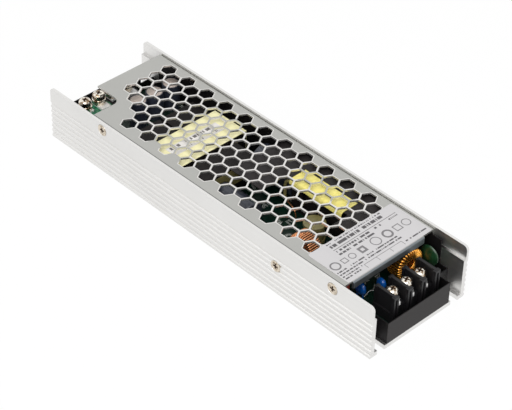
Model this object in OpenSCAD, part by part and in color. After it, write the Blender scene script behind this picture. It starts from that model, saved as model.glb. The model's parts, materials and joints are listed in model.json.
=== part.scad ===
// Enclosed switching power supply: an extruded channel, a honeycomb cover and the circuit inside.
// X runs along the length with the mains input at +X, Y across the width, Z up from the base.

/* [Case] */
// Length of the channel
case_l = 194; // [176:1:214]
// Width over the side walls
case_w = 55; // [50:0.5:62]
// Height of the side walls
case_h = 26; // [23.6:0.2:29]
// Thickness of the base plate
base_t = 2; // [1.8:0.1:2.2]
// Thickness of the side walls below the ledge
wall_t = 2.4; // [2.2:0.1:2.6]
// Thickness of the side walls above the ledge
rim_t = 1.2; // [1.1:0.05:1.4]
// Height of the thin rim above the ledge
rim_h = 6.4; // [5.8:0.1:7]
// Rounding of the wall corners at the open ends
corner_r = 2; // [1:0.1:3]
// Rounding of the outer bottom edges
foot_r = 1.2; // [0.6:0.1:1.3]

/* [Ribs] */
// Number of ribs on each side wall
rib_count = 6; // [5:1:7]
// Distance of the top groove's middle below the ledge
rib_top = 2; // [1.4:0.1:3]
// Width of a rib's crest
rib_w = 0.9; // [0.6:0.1:1.1]
// Depth of the grooves between the ribs
rib_depth = 0.5; // [0.4:0.1:1]
// Height of the lowest crest
rib_z = 3.3; // [3:0.1:3.4]

/* [Mounting notches] */
// Width of a notch
notch_w = 4.2; // [3.4:0.1:4.6]
// Depth of a notch from the channel's end
notch_l = 6.5; // [5:0.1:6.9]
// Distance of a notch's centre from the outer wall face
notch_inset = 6.2; // [5.8:0.1:6.6]

/* [Cover] */
// Thickness of the cover sheet
sheet_t = 0.8; // [0.6:0.1:0.8]
// Distance of the cover's top below the wall tops
cover_drop = 0.8; // [0.4:0.1:1]
// Clearance between the cover's flanges and the rims
cover_gap = 0.1; // [0.05:0.05:0.2]
// Outside radius of the folds
bend_r = 0.9; // [0.9:0.1:1.5]
// Distance from the output end of the channel to the cover
cover_out = 12; // [10:0.5:13]
// Distance from the input end of the channel to the face of the lip
cover_in = 16.4; // [15.6:0.1:18]
// Width of the lip
lip_w = 40.6; // [20:0.2:42]
// Sideways shift of the lip
lip_side = -0.9; // [-1.5:0.1:1.5]
// Height of the lip below the cover's top
lip_h = 3.4; // [1.6:0.1:3.6]
// Length of the terminal cut-out
cutout_l = 15; // [10:0.5:16]
// Distance of the cut-out's edge from the middle of the cover
cutout_y = 10.6; // [8:0.2:14]
// Rounding of the cut-out's inner corner
cutout_r = 3.5; // [1:0.1:5]

/* [Honeycomb] */
// Number of holes in a full column
hex_rows = 6; // [4:1:7]
// Width of the flat top that the rows leave over
hex_edge = 8; // [7.2:0.1:12]
// Width of the webs between the holes of a column
hex_web = 0.8; // [0.6:0.1:2]
// Spacing of the columns as a share of the spacing of the rows
hex_step = 0.858; // [0.85:0.001:0.87]
// Distance kept between the last column's middle and the label
hex_label_gap = 2; // [1:0.1:6]
// Distance from the cover's output edge to the first column
hex_start = 11.6; // [9:0.1:12]
// Sideways offset of the honeycomb from the middle
hex_side = 1.2; // [0:0.1:1.6]
// Plain margin kept beside the cut-out, along the length
hex_keep_l = 10; // [4:0.5:14]
// Plain margin kept beside the cut-out, across the width
hex_keep_w = 5; // [3.5:0.5:9]

/* [Label] */
// Length of the label along the cover
label_l = 22.6; // [12:0.2:24]
// Distance of the label from the near edge of the flat top
label_near = 2.3; // [0.5:0.1:6]
// Distance of the label from the far edge of the flat top
label_far = 0.5; // [0.1:0.1:6]
// Thickness of the label
label_t = 0.15; // [0.1:0.05:0.3]
// Rounding of the label's corners
label_r = 1; // [0.3:0.1:2]

/* [Side screws] */
// Diameter of a countersunk head
flat_head_d = 5.4; // [4.8:0.1:5.8]
// Diameter of a side screw's shank
side_screw_d = 3; // [2.4:0.1:3.2]
// Length of a cover screw
cover_screw_l = 3.6; // [3:0.1:4]
// Distance of the cover screws below the wall tops
cover_screw_down = 3.8; // [3:0.1:4]
// Distance of the cover screws from the output end
cover_screw_out = 34.8; // [30:0.1:40]
// Distance of the cover screws from the input end
cover_screw_in = 21.7; // [20.5:0.1:26]
// Distance of the clamp screw from the input end
clamp_screw_in = 53; // [50:0.5:55]
// Height of the clamp screw
clamp_screw_z = 13.7; // [13:0.1:14.5]
// Radial clearance around screws
screw_gap = 0.1; // [0.05:0.05:0.2]
// Width of a cross recess
cross_w = 0.7; // [0.5:0.1:0.9]

/* [Insulation] */
// Thickness of the film
film_t = 0.4; // [0.3:0.1:0.5]
// Height of the tray's end walls
tray_end_h = 10.5; // [6:0.5:11]
// Clearance between the tray's narrow ends and the notches
tray_notch_gap = 1.2; // [0.9:0.1:2]
// Length of the narrow ends
tray_end_l = 7.5; // [7.2:0.1:8]
// Height of the low side walls next to the narrow ends
tray_low_h = 9; // [6:0.5:10]
// Length of the low side walls
tray_low_l = 4.5; // [3:0.5:6]
// Distance of the tall side walls' tops below the cover sheet
tray_drop = 1.2; // [0.8:0.1:4]
// Diameter of the clearance holes at the cover screws
tray_hole_d = 5; // [4:0.2:6]
// Start of the flap along the length
flap_x0 = -5.3; // [-10:0.1:0]
// Distance of the flap's top side below the cover sheet
flap_drop = 2; // [1.6:0.1:3]
// Width of the flap at its start
flap_start_w = 30.2; // [16:0.2:31]
// Width of the flap at its end
flap_end_w = 24; // [16:0.2:25]
// Length of the flap's wide end
flap_end_l = 8.8; // [4:0.2:10]
// Width of the flap behind the tape
flap_mid_w = 15.6; // [14.9:0.1:16]
// Distance between the ends of the tape and the flap's wide parts
tape_gap = 2.5; // [1.5:0.1:4]
// Thickness of the tape
tape_t = 0.2; // [0.1:0.05:0.3]
// Length of the tape
tape_l = 30; // [20:1:34]
// Width of the tape's flat part
tape_w = 8.2; // [4:0.2:11]
// Width of the tape that reaches past the flap's edge
tape_over = 1.4; // [0.6:0.1:1.5]
// Height of the tape's edge that is bent down
tape_hang = 2; // [0.4:0.1:2.2]

/* [Board] */
// Thickness of the circuit board
board_t = 1.6; // [1.2:0.2:2]
// Height of the pillars under the board
pillar_h = 3.4; // [3:0.1:3.8]
// Diameter of a pillar
pillar_d = 5; // [4:0.2:6]
// Clearance around the board
board_gap = 0.6; // [0.4:0.1:1]
// Distance of the pillars from the board's long edges
pillar_inset = 3.6; // [3.1:0.1:4.6]
// Distance of the output pillars from the output end
pillar_out = 17; // [16:0.5:19]
// Distance of the input pillars from the input end
pillar_in = 37; // [36:0.5:38]
// Diameter of the board screws
board_screw_d = 3; // [2:0.1:3.4]
// Diameter of a board screw's head
board_head_d = 5.4; // [4.6:0.1:5.6]
// Height of a board screw's head
board_head_h = 2; // [1.4:0.1:2.6]

/* [Input terminals] */
// Number of poles
in_poles = 3; // [2:1:3]
// Spacing of the poles
in_pitch = 7.9; // [7.7:0.05:8.2]
// Sideways place of the block's middle
in_side = 0.6; // [-0.4:0.1:0.8]
// Distance of the barriers' front from the channel's end
in_front = 2.4; // [2:0.1:3.4]
// Length of the block
in_l = 11.1; // [10.5:0.1:12]
// Thickness of a barrier
in_wall = 1.3; // [1:0.1:1.5]
// Height of the barriers above the board
in_h = 13.5; // [12.5:0.1:15]
// Height of the cell floors above the board
in_floor = 6.2; // [5.8:0.1:6.8]
// Height of the block's wider foot
in_foot_h = 5; // [3:0.1:5.4]
// Width that the foot adds on each side
in_foot = 0.6; // [0.3:0.1:1]
// Width of a barrier's front post
in_post = 2.8; // [2.4:0.1:3]
// Depth of a barrier's front post
in_post_l = 1.6; // [1.2:0.1:2]
// Width of the slot in a front post
in_slot = 1; // [0.6:0.1:1.2]
// Width of a barrier's back tab
in_tab = 2.2; // [1.8:0.1:2.8]
// Thickness of the contact plates
contact_t = 0.8; // [0.6:0.1:1]
// Width of the contact plates
contact_w = 4.6; // [4:0.1:4.8]
// Width of the tips at the front of the contact plates
tip_w = 1.8; // [1.4:0.1:2.4]
// Thickness of the square clamp plates
clamp_t = 1; // [0.8:0.1:1.4]
// Width of the square clamp plates
clamp_w = 4.6; // [4.2:0.1:5]
// Diameter of the terminal screws' heads
in_head_d = 5.5; // [5:0.1:5.8]
// Height of the terminal screws' heads
in_head_h = 2.8; // [2.2:0.1:3]
// Diameter of the terminal screws' shanks
in_screw_d = 3; // [2.4:0.1:3.4]
// Length of the terminal screws' shanks below the clamp plates
in_screw_l = 5.6; // [5:0.1:6.4]
// Gap between the clamp plates and the heads of the opened terminal screws
in_lift = 1.6; // [1:0.1:2]
// Distance of the screws from the barriers' front
in_screw_x = 6; // [5.6:0.1:6.4]

/* [Output terminals] */
// Number of output screws
out_poles = 4; // [3:1:4]
// Number of output screws that the terminal board carries
out_board_poles = 2; // [1:1:2]
// Spacing of the output screws
out_pitch = 7.8; // [7.6:0.05:8]
// Distance of the screw row from the channel's end
out_screw_x = 9; // [8.6:0.1:9.4]
// Distance of the first output screw from the edge of the terminal board
out_edge = 1.4; // [1.2:0.1:3.2]
// Height of the base under the terminal board
out_h = 4.2; // [4:0.1:4.6]
// Length of the terminal board along the channel
out_board_l = 9.4; // [9.2:0.1:13.2]
// Thickness of the terminal board
out_board_t = 1.6; // [1.2:0.1:2]
// Width of a nut across its flats
nut_w = 5.5; // [5:0.1:5.8]
// Height of a nut
nut_h = 1.4; // [1.2:0.1:2]
// Thickness of the lugs
lug_t = 0.8; // [0.6:0.1:1]
// Width of a lug
lug_w = 5; // [4.6:0.1:5.4]
// Length of the long lugs behind the screws
lug_l = 5.4; // [4.6:0.1:5.6]
// Diameter of the flat washers
washer_d = 6.2; // [5.8:0.1:6.6]
// Thickness of the flat washers
washer_t = 0.8; // [0.5:0.1:1]
// Diameter of the spring washers
spring_d = 5.6; // [5:0.1:5.8]
// Thickness of the spring washers
spring_t = 0.8; // [0.6:0.1:1.2]
// Diameter of the output screws' heads
out_head_d = 5.6; // [5.2:0.1:6]
// Height of the output screws' heads
out_head_h = 2.2; // [2:0.1:2.8]
// Diameter of the output screws' shanks
out_screw_d = 3; // [2.6:0.1:3.4]

/* [Mains filter parts] */
// Distance of the choke's top below the lip
choke_drop = 0.4; // [0.3:0.1:2.4]
// Length of the choke over its windings
choke_l = 7; // [6:0.1:7.4]
// Thickness of the winding around the core
choke_wire = 0.8; // [0.6:0.1:1]
// Thickness of the core's ring
choke_ring = 3.2; // [2.6:0.1:3.4]
// Angle of the bare gap between the windings
choke_split = 8; // [6:1:50]
// Distance of the choke's front from the input end
choke_in = 16.4; // [16.2:0.1:18]
// Clearance between the choke and the varistor
choke_gap = 0.2; // [0.2:0.1:0.8]
// Diameter of the varistor
varistor_d = 9.2; // [8:0.1:9.6]
// Thickness of the varistor
varistor_t = 2.4; // [2:0.1:2.8]
// Height of the varistor's middle above the board
varistor_z = 9; // [8:0.1:9.8]
// Distance of the varistor's middle from the input end
varistor_in = 14.5; // [14:0.1:15]
// Distance of the varistor's middle from the film on the far wall
varistor_wall = 3.5; // [2.7:0.1:3.6]
// Diameter of the blue capacitors
blue_d = 5.6; // [5.2:0.1:6.4]
// Thickness of the blue capacitors
blue_t = 3; // [2.6:0.1:3.4]
// Height of the blue capacitors' middle above the board
blue_z = 4.8; // [4.2:0.1:5.2]
// Turn of the blue capacitors about their leads
blue_turn = -5; // [-30:1:0]
// Distance of the first blue capacitor from the input end
blue_a_in = 22.4; // [22:0.1:23]
// Distance of the first blue capacitor from the board's near edge
blue_a_edge = 13.9; // [13.7:0.1:14.5]
// Distance of the second blue capacitor from the input end
blue_b_in = 18.8; // [18.4:0.1:19.2]
// Sideways place of the second blue capacitor
blue_b_side = -2; // [-2.6:0.1:-1.4]
// Diameter of the component leads
lead_d = 0.7; // [0.6:0.05:0.9]
// Diameter of the fuse
fuse_d = 7.6; // [7:0.1:7.8]
// Height of the fuse
fuse_h = 7.5; // [6:0.1:9]
// Distance of the fuse's middle from the input end
fuse_in = 28; // [27.6:0.1:28.4]
// Distance of the fuse's middle from the board's near edge
fuse_edge = 8.1; // [7.5:0.1:8.5]
// Length of the mains filter capacitor across the channel
xcap_w = 24; // [18:0.5:26]
// Thickness of the mains filter capacitor
xcap_l = 9; // [7:0.5:9.4]
// Rounding of the mains filter capacitor's edges
xcap_r = 0.8; // [0.4:0.1:1.5]
// Distance of the mains filter capacitor from the input end
xcap_in = 31; // [30.6:0.1:31.4]

/* [Rectifier] */
// Width of the rectifier's body
bridge_w = 19; // [16:0.5:20]
// Height of the rectifier's body
bridge_h = 12; // [11:0.2:12.8]
// Thickness of the rectifier's body
bridge_t = 3.6; // [3:0.1:4]
// Height of the body's lower edge above the board
bridge_z = 1.4; // [1:0.1:1.8]
// Width of the body's flat legs
leg_w = 1.2; // [0.8:0.1:1.6]
// Thickness of the thermal pad behind it
pad_t = 0.4; // [0.3:0.1:0.6]
// Thickness of the clamp bar
bar_t = 3; // [2.4:0.1:3.4]
// Height of the clamp bar
bar_h = 7; // [6:0.1:8]

/* [Wound parts] */
// Diameter of the ring choke over its wire
ring_d = 14; // [12:0.1:14.6]
// Width of the ring choke over its wire
ring_w = 8; // [7:0.1:8.6]
// Thickness of the ring choke's winding
ring_wire = 1; // [0.8:0.1:1.2]
// Thickness of the ring choke's core
ring_core_t = 3; // [2.4:0.1:3.2]
// Clearance between the ring choke and the mains filter capacitor
ring_gap = 6.5; // [5:0.1:8]
// Sideways place of the ring choke
ring_side = -10; // [-10.6:0.1:-9.6]
// Diameter of the drum inductor
drum_d = 9.6; // [8:0.1:10]
// Height of the drum inductor
drum_h = 9; // [7:0.1:11]
// Place of the drum inductor along the length
drum_x = 37; // [35:0.1:38]
// Clearance between the drum inductor and the hanging tape
drum_gap = 2.5; // [1.7:0.1:3.1]
// Length of the main transformer along the channel
trafo_l = 19.8; // [19:0.1:20.6]
// Width of the main transformer across the channel
trafo_w = 38; // [34:0.2:39]
// Thickness of the core's yokes
trafo_yoke = 5; // [4:0.1:6]
// Thickness of the core's top and bottom
trafo_shell = 2.8; // [2.2:0.1:3.4]
// Place of the main transformer along the length
trafo_x = -30.6; // [-31.4:0.1:-30]
// Sideways place of the main transformer
trafo_side = -1.2; // [-1.6:0.1:-0.6]
// Width of the paper slip on the main transformer
slip_w = 6.2; // [3:0.1:8]
// Length of the paper slip across the channel
slip_l = 28.5; // [15:0.5:30]
// Distance of the slip from the transformer's middle, along the channel
slip_x = -0.3; // [-3:0.1:3]
// Distance of the slip from the transformer's middle, across the channel
slip_y = -1; // [-4:0.1:2]
// Length of the small transformer along the channel
aux_l = 11.6; // [9:0.1:12.4]
// Clearance of the small transformer from the control board and the reservoir capacitor
aux_gap = 0.7; // [0.5:0.1:2]
// Distance of the small transformer's top below the flap
aux_drop = 0.4; // [0.2:0.1:2]
// Height of the tape around the small transformer
aux_tape_h = 8; // [4:0.1:9]
// Place of the small transformer along the length
aux_x = -12.4; // [-12.8:0.1:-12]
// Length of the boost choke along the channel
boost_l = 29; // [24:0.5:30]
// Width of the boost choke across the channel
boost_w = 14; // [11:0.2:14.8]
// Width of the boost choke's winding window
boost_gap = 16; // [8:0.5:20]
// Depth of the boost choke's winding window
boost_depth = 1.2; // [0.6:0.1:2]
// Length of the output choke along the channel
outchoke_l = 12; // [10:0.2:12.6]
// Width of the output choke
outchoke_w = 38; // [30:0.5:40]
// Height of the output choke
outchoke_h = 11; // [9:0.2:13]
// Place of the output choke along the length
outchoke_x = -50; // [-50.6:0.1:-49.4]
// Width of the groove between the halves of the output choke
outchoke_split = 1; // [0.6:0.1:1.4]

/* [Capacitors] */
// Distance between the reservoir capacitor and the boost choke
bulk_gap = 2.2; // [1.7:0.1:7]
// Start of the reservoir capacitor along the length
bulk_x = -11; // [-12:0.1:-10]
// Distance of the reservoir capacitor's top below the flap
bulk_drop = 1; // [0.6:0.1:3]
// Clearance between the reservoir capacitor and the film on the far wall
bulk_wall = 0.5; // [0.3:0.1:2]
// Diameter of the smaller lying capacitor
auxcap_d = 11; // [9:0.1:12]
// Length of the smaller lying capacitor
auxcap_l = 19.5; // [15:0.5:20]
// Clearance between the smaller lying capacitor and the small transformer's tape
auxcap_gap = 0.5; // [0.3:0.1:1]
// Sideways place of the smaller lying capacitor
auxcap_side = -10.5; // [-11:0.1:-9.6]
// Number of output capacitors in the row
outcap_n = 3; // [1:1:3]
// Diameter of an output capacitor
outcap_d = 8; // [6.3:0.1:8.6]
// Height of an output capacitor
outcap_h = 13; // [10:0.1:15]
// Spacing of the output capacitors
outcap_pitch = 9.7; // [9.2:0.1:10]
// Distance of the row from the output end
outcap_out = 26; // [25.6:0.1:27]
// Clearance between the last capacitor of the row and the film on the far wall
outcap_wall = 1; // [0.6:0.1:2]

/* [Other parts] */
// Length of the upright control board along the channel
control_l = 26; // [18:0.5:28]
// Height of the upright control board
control_h = 12; // [8:0.2:14]
// Thickness of the upright control board
control_t = 1; // [0.8:0.1:1.6]
// Middle of the upright control board along the length
control_x = 6; // [3:0.5:8]
// Distance of the upright control board from the circuit board's near edge
control_inset = 3.1; // [2.5:0.1:3.5]
// Number of chips on the control board
chip_n = 3; // [1:1:3]
// Size of a chip's square body
chip_w = 5; // [3:0.1:5.6]
// Thickness of a chip
chip_t = 1.6; // [1:0.1:2]
// Number of transistors under the board
fet_n = 4; // [1:1:4]
// Size of a transistor's square body
fet_w = 9; // [6:0.2:10]
// Thickness of a transistor
fet_t = 1.6; // [1.2:0.1:1.8]
// Spacing of the transistors
fet_pitch = 24; // [14:1:26]

/* [Hidden] */
$fn = 48;
// Overshoot of a cutting shape past the face that it opens
cut = 1;

// Heights and faces that several pieces share
end_x = case_l / 2;
out_y = case_w / 2;
in_y = out_y - wall_t;
rim_y = out_y - rim_t;
ledge_z = case_h - rim_h;
cover_z = case_h - cover_drop;
under_z = cover_z - sheet_t;
flange_y = rim_y - cover_gap;
panel_y = flange_y - bend_r;
cover_x0 = -end_x + cover_out;
lip_x = end_x - cover_in;
panel_x1 = lip_x - bend_r;
cutout_x1 = cover_x0 + cutout_l;
board_z0 = base_t + pillar_h;
board_z = board_z0 + board_t;
film_z = base_t + film_t;
cover_screw_z = case_h - cover_screw_down;
cover_screw_x = [-end_x + cover_screw_out, end_x - cover_screw_in];
clamp_screw_x = end_x - clamp_screw_in;
flat_head_h = (flat_head_d - side_screw_d) / 2;
tray_x = end_x - tray_end_l;
tray_low_x = tray_x - tray_low_l;
tray_end_w = 2 * (out_y - notch_inset - notch_w / 2 - tray_notch_gap);
tray_top_z = under_z - tray_drop;
film_y = in_y - film_t;
pillar_x = [-end_x + pillar_out, end_x - pillar_in];
rib_pitch = (ledge_z - rib_top - rib_z) / (rib_count - 0.5);
groove_w = rib_pitch - rib_w;
main_x = tray_x - film_t - board_gap;
main_y = in_y - film_t - board_gap;
tongue_x = end_x - film_t - board_gap;
tongue_y = tray_end_w / 2 - film_t - board_gap;
pillar_y = main_y - pillar_inset;

// The flap, its tape and the tall parts that reach up to it
flap_z = under_z - flap_drop - film_t;
tall_h = flap_z - board_z;
xcap_x1 = end_x - xcap_in;
flap_x1 = xcap_x1 - xcap_l;
flap_wide_x1 = flap_x1 - flap_end_l;
tape_x1 = flap_wide_x1 - tape_gap;
tape_x0 = tape_x1 - tape_l;
flap_wide_x0 = tape_x0 - tape_gap;
tape_y = film_y - flap_mid_w;
boost_x = (tape_x0 + tape_x1) / 2;

// Box between two corners
module block(x0, x1, y0, y1, z0, z1) {
    translate([x0, y0, z0]) cube([x1 - x0, y1 - y0, z1 - z0]);
}

// Upright cylinder
module post(x, y, z0, z1, d) {
    translate([x, y, z0]) cylinder(h = z1 - z0, d = d);
}

// Two crossed slots cut down into a head whose top is at z = 0
module cross_recess(d, depth) {
    for (turn = [0, 90])
        rotate(turn) translate([-d / 2, -cross_w / 2, -depth]) cube([d, cross_w, depth + cut]);
}

// Rounded head standing on z = 0, with a cross recess
module pan_head(d, h) {
    difference() {
        rotate_extrude()
            polygon([[0, 0], [d / 2, 0], [d / 2, 0.45 * h], [0.42 * d, 0.8 * h], [0.28 * d, h], [0, h]]);
        translate([0, 0, h]) cross_recess(0.62 * d, 0.5 * h);
    }
}

// Pan-head screw with its head's underside at z = 0
module pan_screw(d, head_d, head_h, length) {
    pan_head(head_d, head_h);
    translate([0, 0, -length]) cylinder(h = length, d = d);
}

// Countersunk screw whose flat head lies at z = 0 and whose shank points down
module flat_screw(length) {
    difference() {
        union() {
            translate([0, 0, -flat_head_h])
                cylinder(h = flat_head_h, d1 = side_screw_d, d2 = flat_head_d);
            translate([0, 0, -length]) cylinder(h = length - flat_head_h, d = side_screw_d);
        }
        cross_recess(0.5 * flat_head_d, 0.6 * flat_head_h);
    }
}

// Countersunk hole for a flat screw, with a clearance all round
module flat_screw_hole(length) {
    head_d = flat_head_d + 2 * screw_gap;
    hole_d = side_screw_d + 2 * screw_gap;
    translate([0, 0, -flat_head_h]) cylinder(h = flat_head_h, d1 = hole_d, d2 = head_d);
    cylinder(h = cut, d = head_d);
    translate([0, 0, -length]) cylinder(h = length, d = hole_d);
}

// Turns children so that their top faces out of the side wall (side = -1 near, 1 far)
module on_wall(x, z, side) {
    translate([x, side * out_y, z]) rotate([-side * 90, 0, 0]) children();
}

// Rounded rectangle between two corners
module rounded_plate(x0, x1, y0, y1, r) {
    translate([x0 + r, y0]) square([x1 - x0 - 2 * r, y1 - y0]);
    translate([x0, y0 + r]) square([x1 - x0, y1 - y0 - 2 * r]);
    for (x = [x0 + r, x1 - r], y = [y0 + r, y1 - r])
        translate([x, y]) circle(r);
}

// Section of the channel, in Y and Z
module channel_section() {
    difference() {
        translate([-out_y, 0]) square([case_w, case_h]);
        translate([-in_y, base_t]) square([2 * in_y, case_h]);
        translate([-rim_y, ledge_z]) square([2 * rim_y, case_h]);
        for (side = [-1, 1]) {
            translate([side * out_y, 0]) foot_corner(side);
            for (i = [0 : rib_count])
                translate([side * out_y, rib_z + (i - 0.5) * rib_pitch]) groove(side);
        }
    }
}

// Corner cut away to round an outer bottom edge
module foot_corner(side) {
    difference() {
        translate([-foot_r, -cut] + (side < 0 ? [-cut, 0] : [0, 0])) square([foot_r + cut, foot_r + cut]);
        translate([-side * foot_r, foot_r]) circle(foot_r);
    }
}

// Groove between two ribs, narrower at its floor
module groove(side) {
    half = groove_w / 2;
    polygon([[side * cut, -half], [0, -half], [-side * rib_depth, -0.6 * half],
             [-side * rib_depth, 0.6 * half], [0, half], [side * cut, half]]);
}

// Open mounting notch with a round inner end, cut through the base
module notch(end, side) {
    x = end * (end_x - notch_l + notch_w / 2);
    y = side * (out_y - notch_inset);
    translate([x, y, -cut]) cylinder(h = base_t + 2 * cut, d = notch_w);
    translate([end > 0 ? x : x - notch_l, y - notch_w / 2, -cut])
        cube([notch_l, notch_w, base_t + 2 * cut]);
}

// Corner cut away to round a wall's top at an open end
module wall_corner(end) {
    translate([end * end_x, 0, case_h]) rotate([90, 0, 0])
        difference() {
            translate([-corner_r, -corner_r, -case_w]) cube([2 * corner_r, 2 * corner_r, 2 * case_w]);
            translate([-end * corner_r, -corner_r, -case_w - cut])
                cylinder(r = corner_r, h = 2 * case_w + 2 * cut);
            translate([end > 0 ? -2 * corner_r : 0, -2 * corner_r, -case_w - cut])
                cube([2 * corner_r, corner_r, 2 * case_w + 2 * cut]);
        }
}

module chassis() {
    color("gainsboro")
    difference() {
        translate([-end_x, 0, 0]) rotate([90, 0, 90])
            linear_extrude(case_l) channel_section();
        for (end = [-1, 1]) {
            wall_corner(end);
            for (side = [-1, 1]) notch(end, side);
        }
        for (x = cover_screw_x, side = [-1, 1])
            on_wall(x, cover_screw_z, side) flat_screw_hole(wall_t + cut);
        on_wall(clamp_screw_x, clamp_screw_z, -1) flat_screw_hole(wall_t + cut);
    }
}

// Terminal cut-out in the corner of the cover, with one rounded corner
module cutout_shape() {
    difference() {
        translate([cover_x0 - cut, -flange_y - cut])
            square([cutout_l + cut, flange_y + cut - cutout_y]);
        translate([cutout_x1 - cutout_r, -cutout_y - cutout_r])
            difference() {
                square(cutout_r + cut);
                circle(cutout_r);
            }
    }
}

// Honeycomb: its spacing follows the cover's width, and its columns run up to the label
hex_row = (2 * panel_y - hex_edge) / hex_rows;
hex_col = hex_step * hex_row;
hex_w = hex_row - hex_web;
hex_cols = 1 + floor((panel_x1 - label_l - hex_label_gap - cover_x0 - hex_start) / hex_col);

// Place of a hole
function hex_x(col) = cover_x0 + hex_start + col * hex_col;
function hex_y(col, row) =
    hex_side + ((hex_rows - 0.5) / 2 - row - (col % 2) / 2) * hex_row;

// True where a hole keeps clear of the cut-out and its plain margin
function hex_clear(x, y) =
    max(0, x - cutout_x1) / hex_keep_l + max(0, y + cutout_y) / hex_keep_w >= 1;

module honeycomb() {
    for (col = [0 : hex_cols - 1], row = [0 : hex_rows - 1])
        if (hex_clear(hex_x(col), hex_y(col, row)))
            translate([hex_x(col), hex_y(col, row)]) circle(d = hex_w / cos(30), $fn = 6);
}

// Flat fold of the sheet: a quarter ring and a straight leg that hangs from it
module folded_edge(leg) {
    intersection() {
        difference() {
            circle(bend_r);
            circle(bend_r - sheet_t);
        }
        square(bend_r);
    }
    translate([bend_r - sheet_t, -leg]) square([sheet_t, leg]);
}

// One side flange of the cover with its fold, from x0 to x1
module flange(side, x0, x1) {
    translate([x0, side * panel_y, cover_z - bend_r])
        rotate([90, 0, 90]) mirror([side < 0 ? 1 : 0, 0, 0])
            linear_extrude(x1 - x0) folded_edge(cover_z - bend_r - ledge_z);
}

module top_cover() {
    color("darkgray")
    difference() {
        union() {
            translate([0, 0, cover_z - sheet_t])
                linear_extrude(sheet_t)
                    difference() {
                        translate([cover_x0, -panel_y]) square([panel_x1 - cover_x0, 2 * panel_y]);
                        cutout_shape();
                        honeycomb();
                    }
            flange(-1, cutout_x1, panel_x1);
            flange(1, cover_x0, panel_x1);
            translate([panel_x1, lip_side + lip_w / 2, cover_z - bend_r])
                rotate([90, 0, 0]) linear_extrude(lip_w) folded_edge(lip_h - bend_r);
        }
        for (x = cover_screw_x, side = [-1, 1])
            on_wall(x, cover_screw_z, side)
                translate([0, 0, -wall_t - cut])
                    cylinder(h = wall_t + cut, d = side_screw_d + 2 * screw_gap);
    }
}

module rating_label() {
    color("whitesmoke")
    translate([0, 0, cover_z]) linear_extrude(label_t)
        rounded_plate(panel_x1 - label_l, panel_x1, -panel_y + label_near, panel_y - label_far, label_r);
}

module cover_screws() {
    color("silver")
    for (x = cover_screw_x, side = [-1, 1])
        on_wall(x, cover_screw_z, side) flat_screw(cover_screw_l);
}

// Faces of the clamped stack on the near wall, from the wall inwards
pad_y = -in_y + film_t;
bridge_y = pad_y + pad_t;
clamp_y = bridge_y + bridge_t;
clamp_screw_l = wall_t + film_t + pad_t + bridge_t + bar_t;

module clamp_screw() {
    color("silver")
    on_wall(clamp_screw_x, clamp_screw_z, -1) flat_screw(clamp_screw_l);
}

// Side wall of the tray against the channel's wall, with its low ends
module tray_side(side) {
    y0 = side > 0 ? in_y - film_t : -in_y;
    difference() {
        union() {
            block(-tray_x, tray_x, y0, y0 + film_t, base_t, base_t + tray_low_h);
            block(-tray_low_x, tray_low_x, y0, y0 + film_t, base_t, tray_top_z);
        }
        for (x = cover_screw_x)
            translate([x, y0 - cut, cover_screw_z]) rotate([-90, 0, 0])
                cylinder(h = film_t + 2 * cut, d = tray_hole_d);
        if (side < 0)
            translate([clamp_screw_x, y0 - cut, clamp_screw_z]) rotate([-90, 0, 0])
                cylinder(h = film_t + 2 * cut, d = side_screw_d + 2 * screw_gap);
    }
}

// Narrow end of the tray between the notches
module tray_end(end) {
    half = tray_end_w / 2;
    x0 = end > 0 ? tray_x : -end_x;
    x1 = end > 0 ? end_x : -tray_x;
    wall_x = end > 0 ? end_x - film_t : -end_x;
    step_x = end > 0 ? tray_x - film_t : -tray_x;
    top = base_t + tray_end_h;
    block(x0, x1, -half, half, base_t, film_z);
    block(wall_x, wall_x + film_t, -half, half, base_t, top);
    for (side = [-1, 1]) {
        y0 = side > 0 ? half - film_t : -half;
        block(x0, x1, y0, y0 + film_t, base_t, top);
        step_y = side > 0 ? half - film_t : -in_y;
        block(step_x, step_x + film_t, step_y, step_y + in_y - half + film_t, base_t, base_t + tray_low_h);
    }
}

module insulation_tray() {
    color("dimgray")
    difference() {
        union() {
            block(-tray_x, tray_x, -in_y, in_y, base_t, film_z);
            for (side = [-1, 1]) tray_side(side);
            for (end = [-1, 1]) tray_end(end);
        }
        for (x = pillar_x, side = [-1, 1])
            post(x, side * pillar_y, base_t - cut, film_z + cut, pillar_d + 2 * screw_gap);
        for (i = [0 : fet_n - 1])
            fet_box(i, base_t - cut, film_z + cut, screw_gap);
    }
}

// Flap in plan: wide at both ends, narrower behind the tape
module flap_shape() {
    translate([flap_x0, tape_y]) square([flap_x1 - flap_x0, flap_mid_w]);
    translate([flap_x0, film_y - flap_start_w]) square([flap_wide_x0 - flap_x0, flap_start_w]);
    translate([flap_wide_x1, film_y - flap_end_w]) square([flap_end_l, flap_end_w]);
}

module insulation_flap() {
    color("dimgray")
    translate([0, 0, flap_z]) linear_extrude(film_t) flap_shape();
}

// Tape lying on the flap and hanging over its edge
module flap_tape() {
    color("khaki") {
        block(tape_x0, tape_x1, tape_y - tape_over, tape_y + tape_w,
              flap_z + film_t, flap_z + film_t + tape_t);
        block(tape_x0, tape_x1, tape_y - tape_over, tape_y - tape_over + tape_t,
              flap_z + film_t - tape_hang, flap_z + film_t);
    }
}

module circuit_board() {
    color("darkgreen")
    difference() {
        union() {
            block(-main_x, main_x, -main_y, main_y, board_z0, board_z);
            block(-tongue_x, tongue_x, -tongue_y, tongue_y, board_z0, board_z);
        }
        for (x = pillar_x, side = [-1, 1])
            post(x, side * pillar_y, board_z0 - cut, board_z + cut, board_screw_d + 2 * screw_gap);
    }
}

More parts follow.
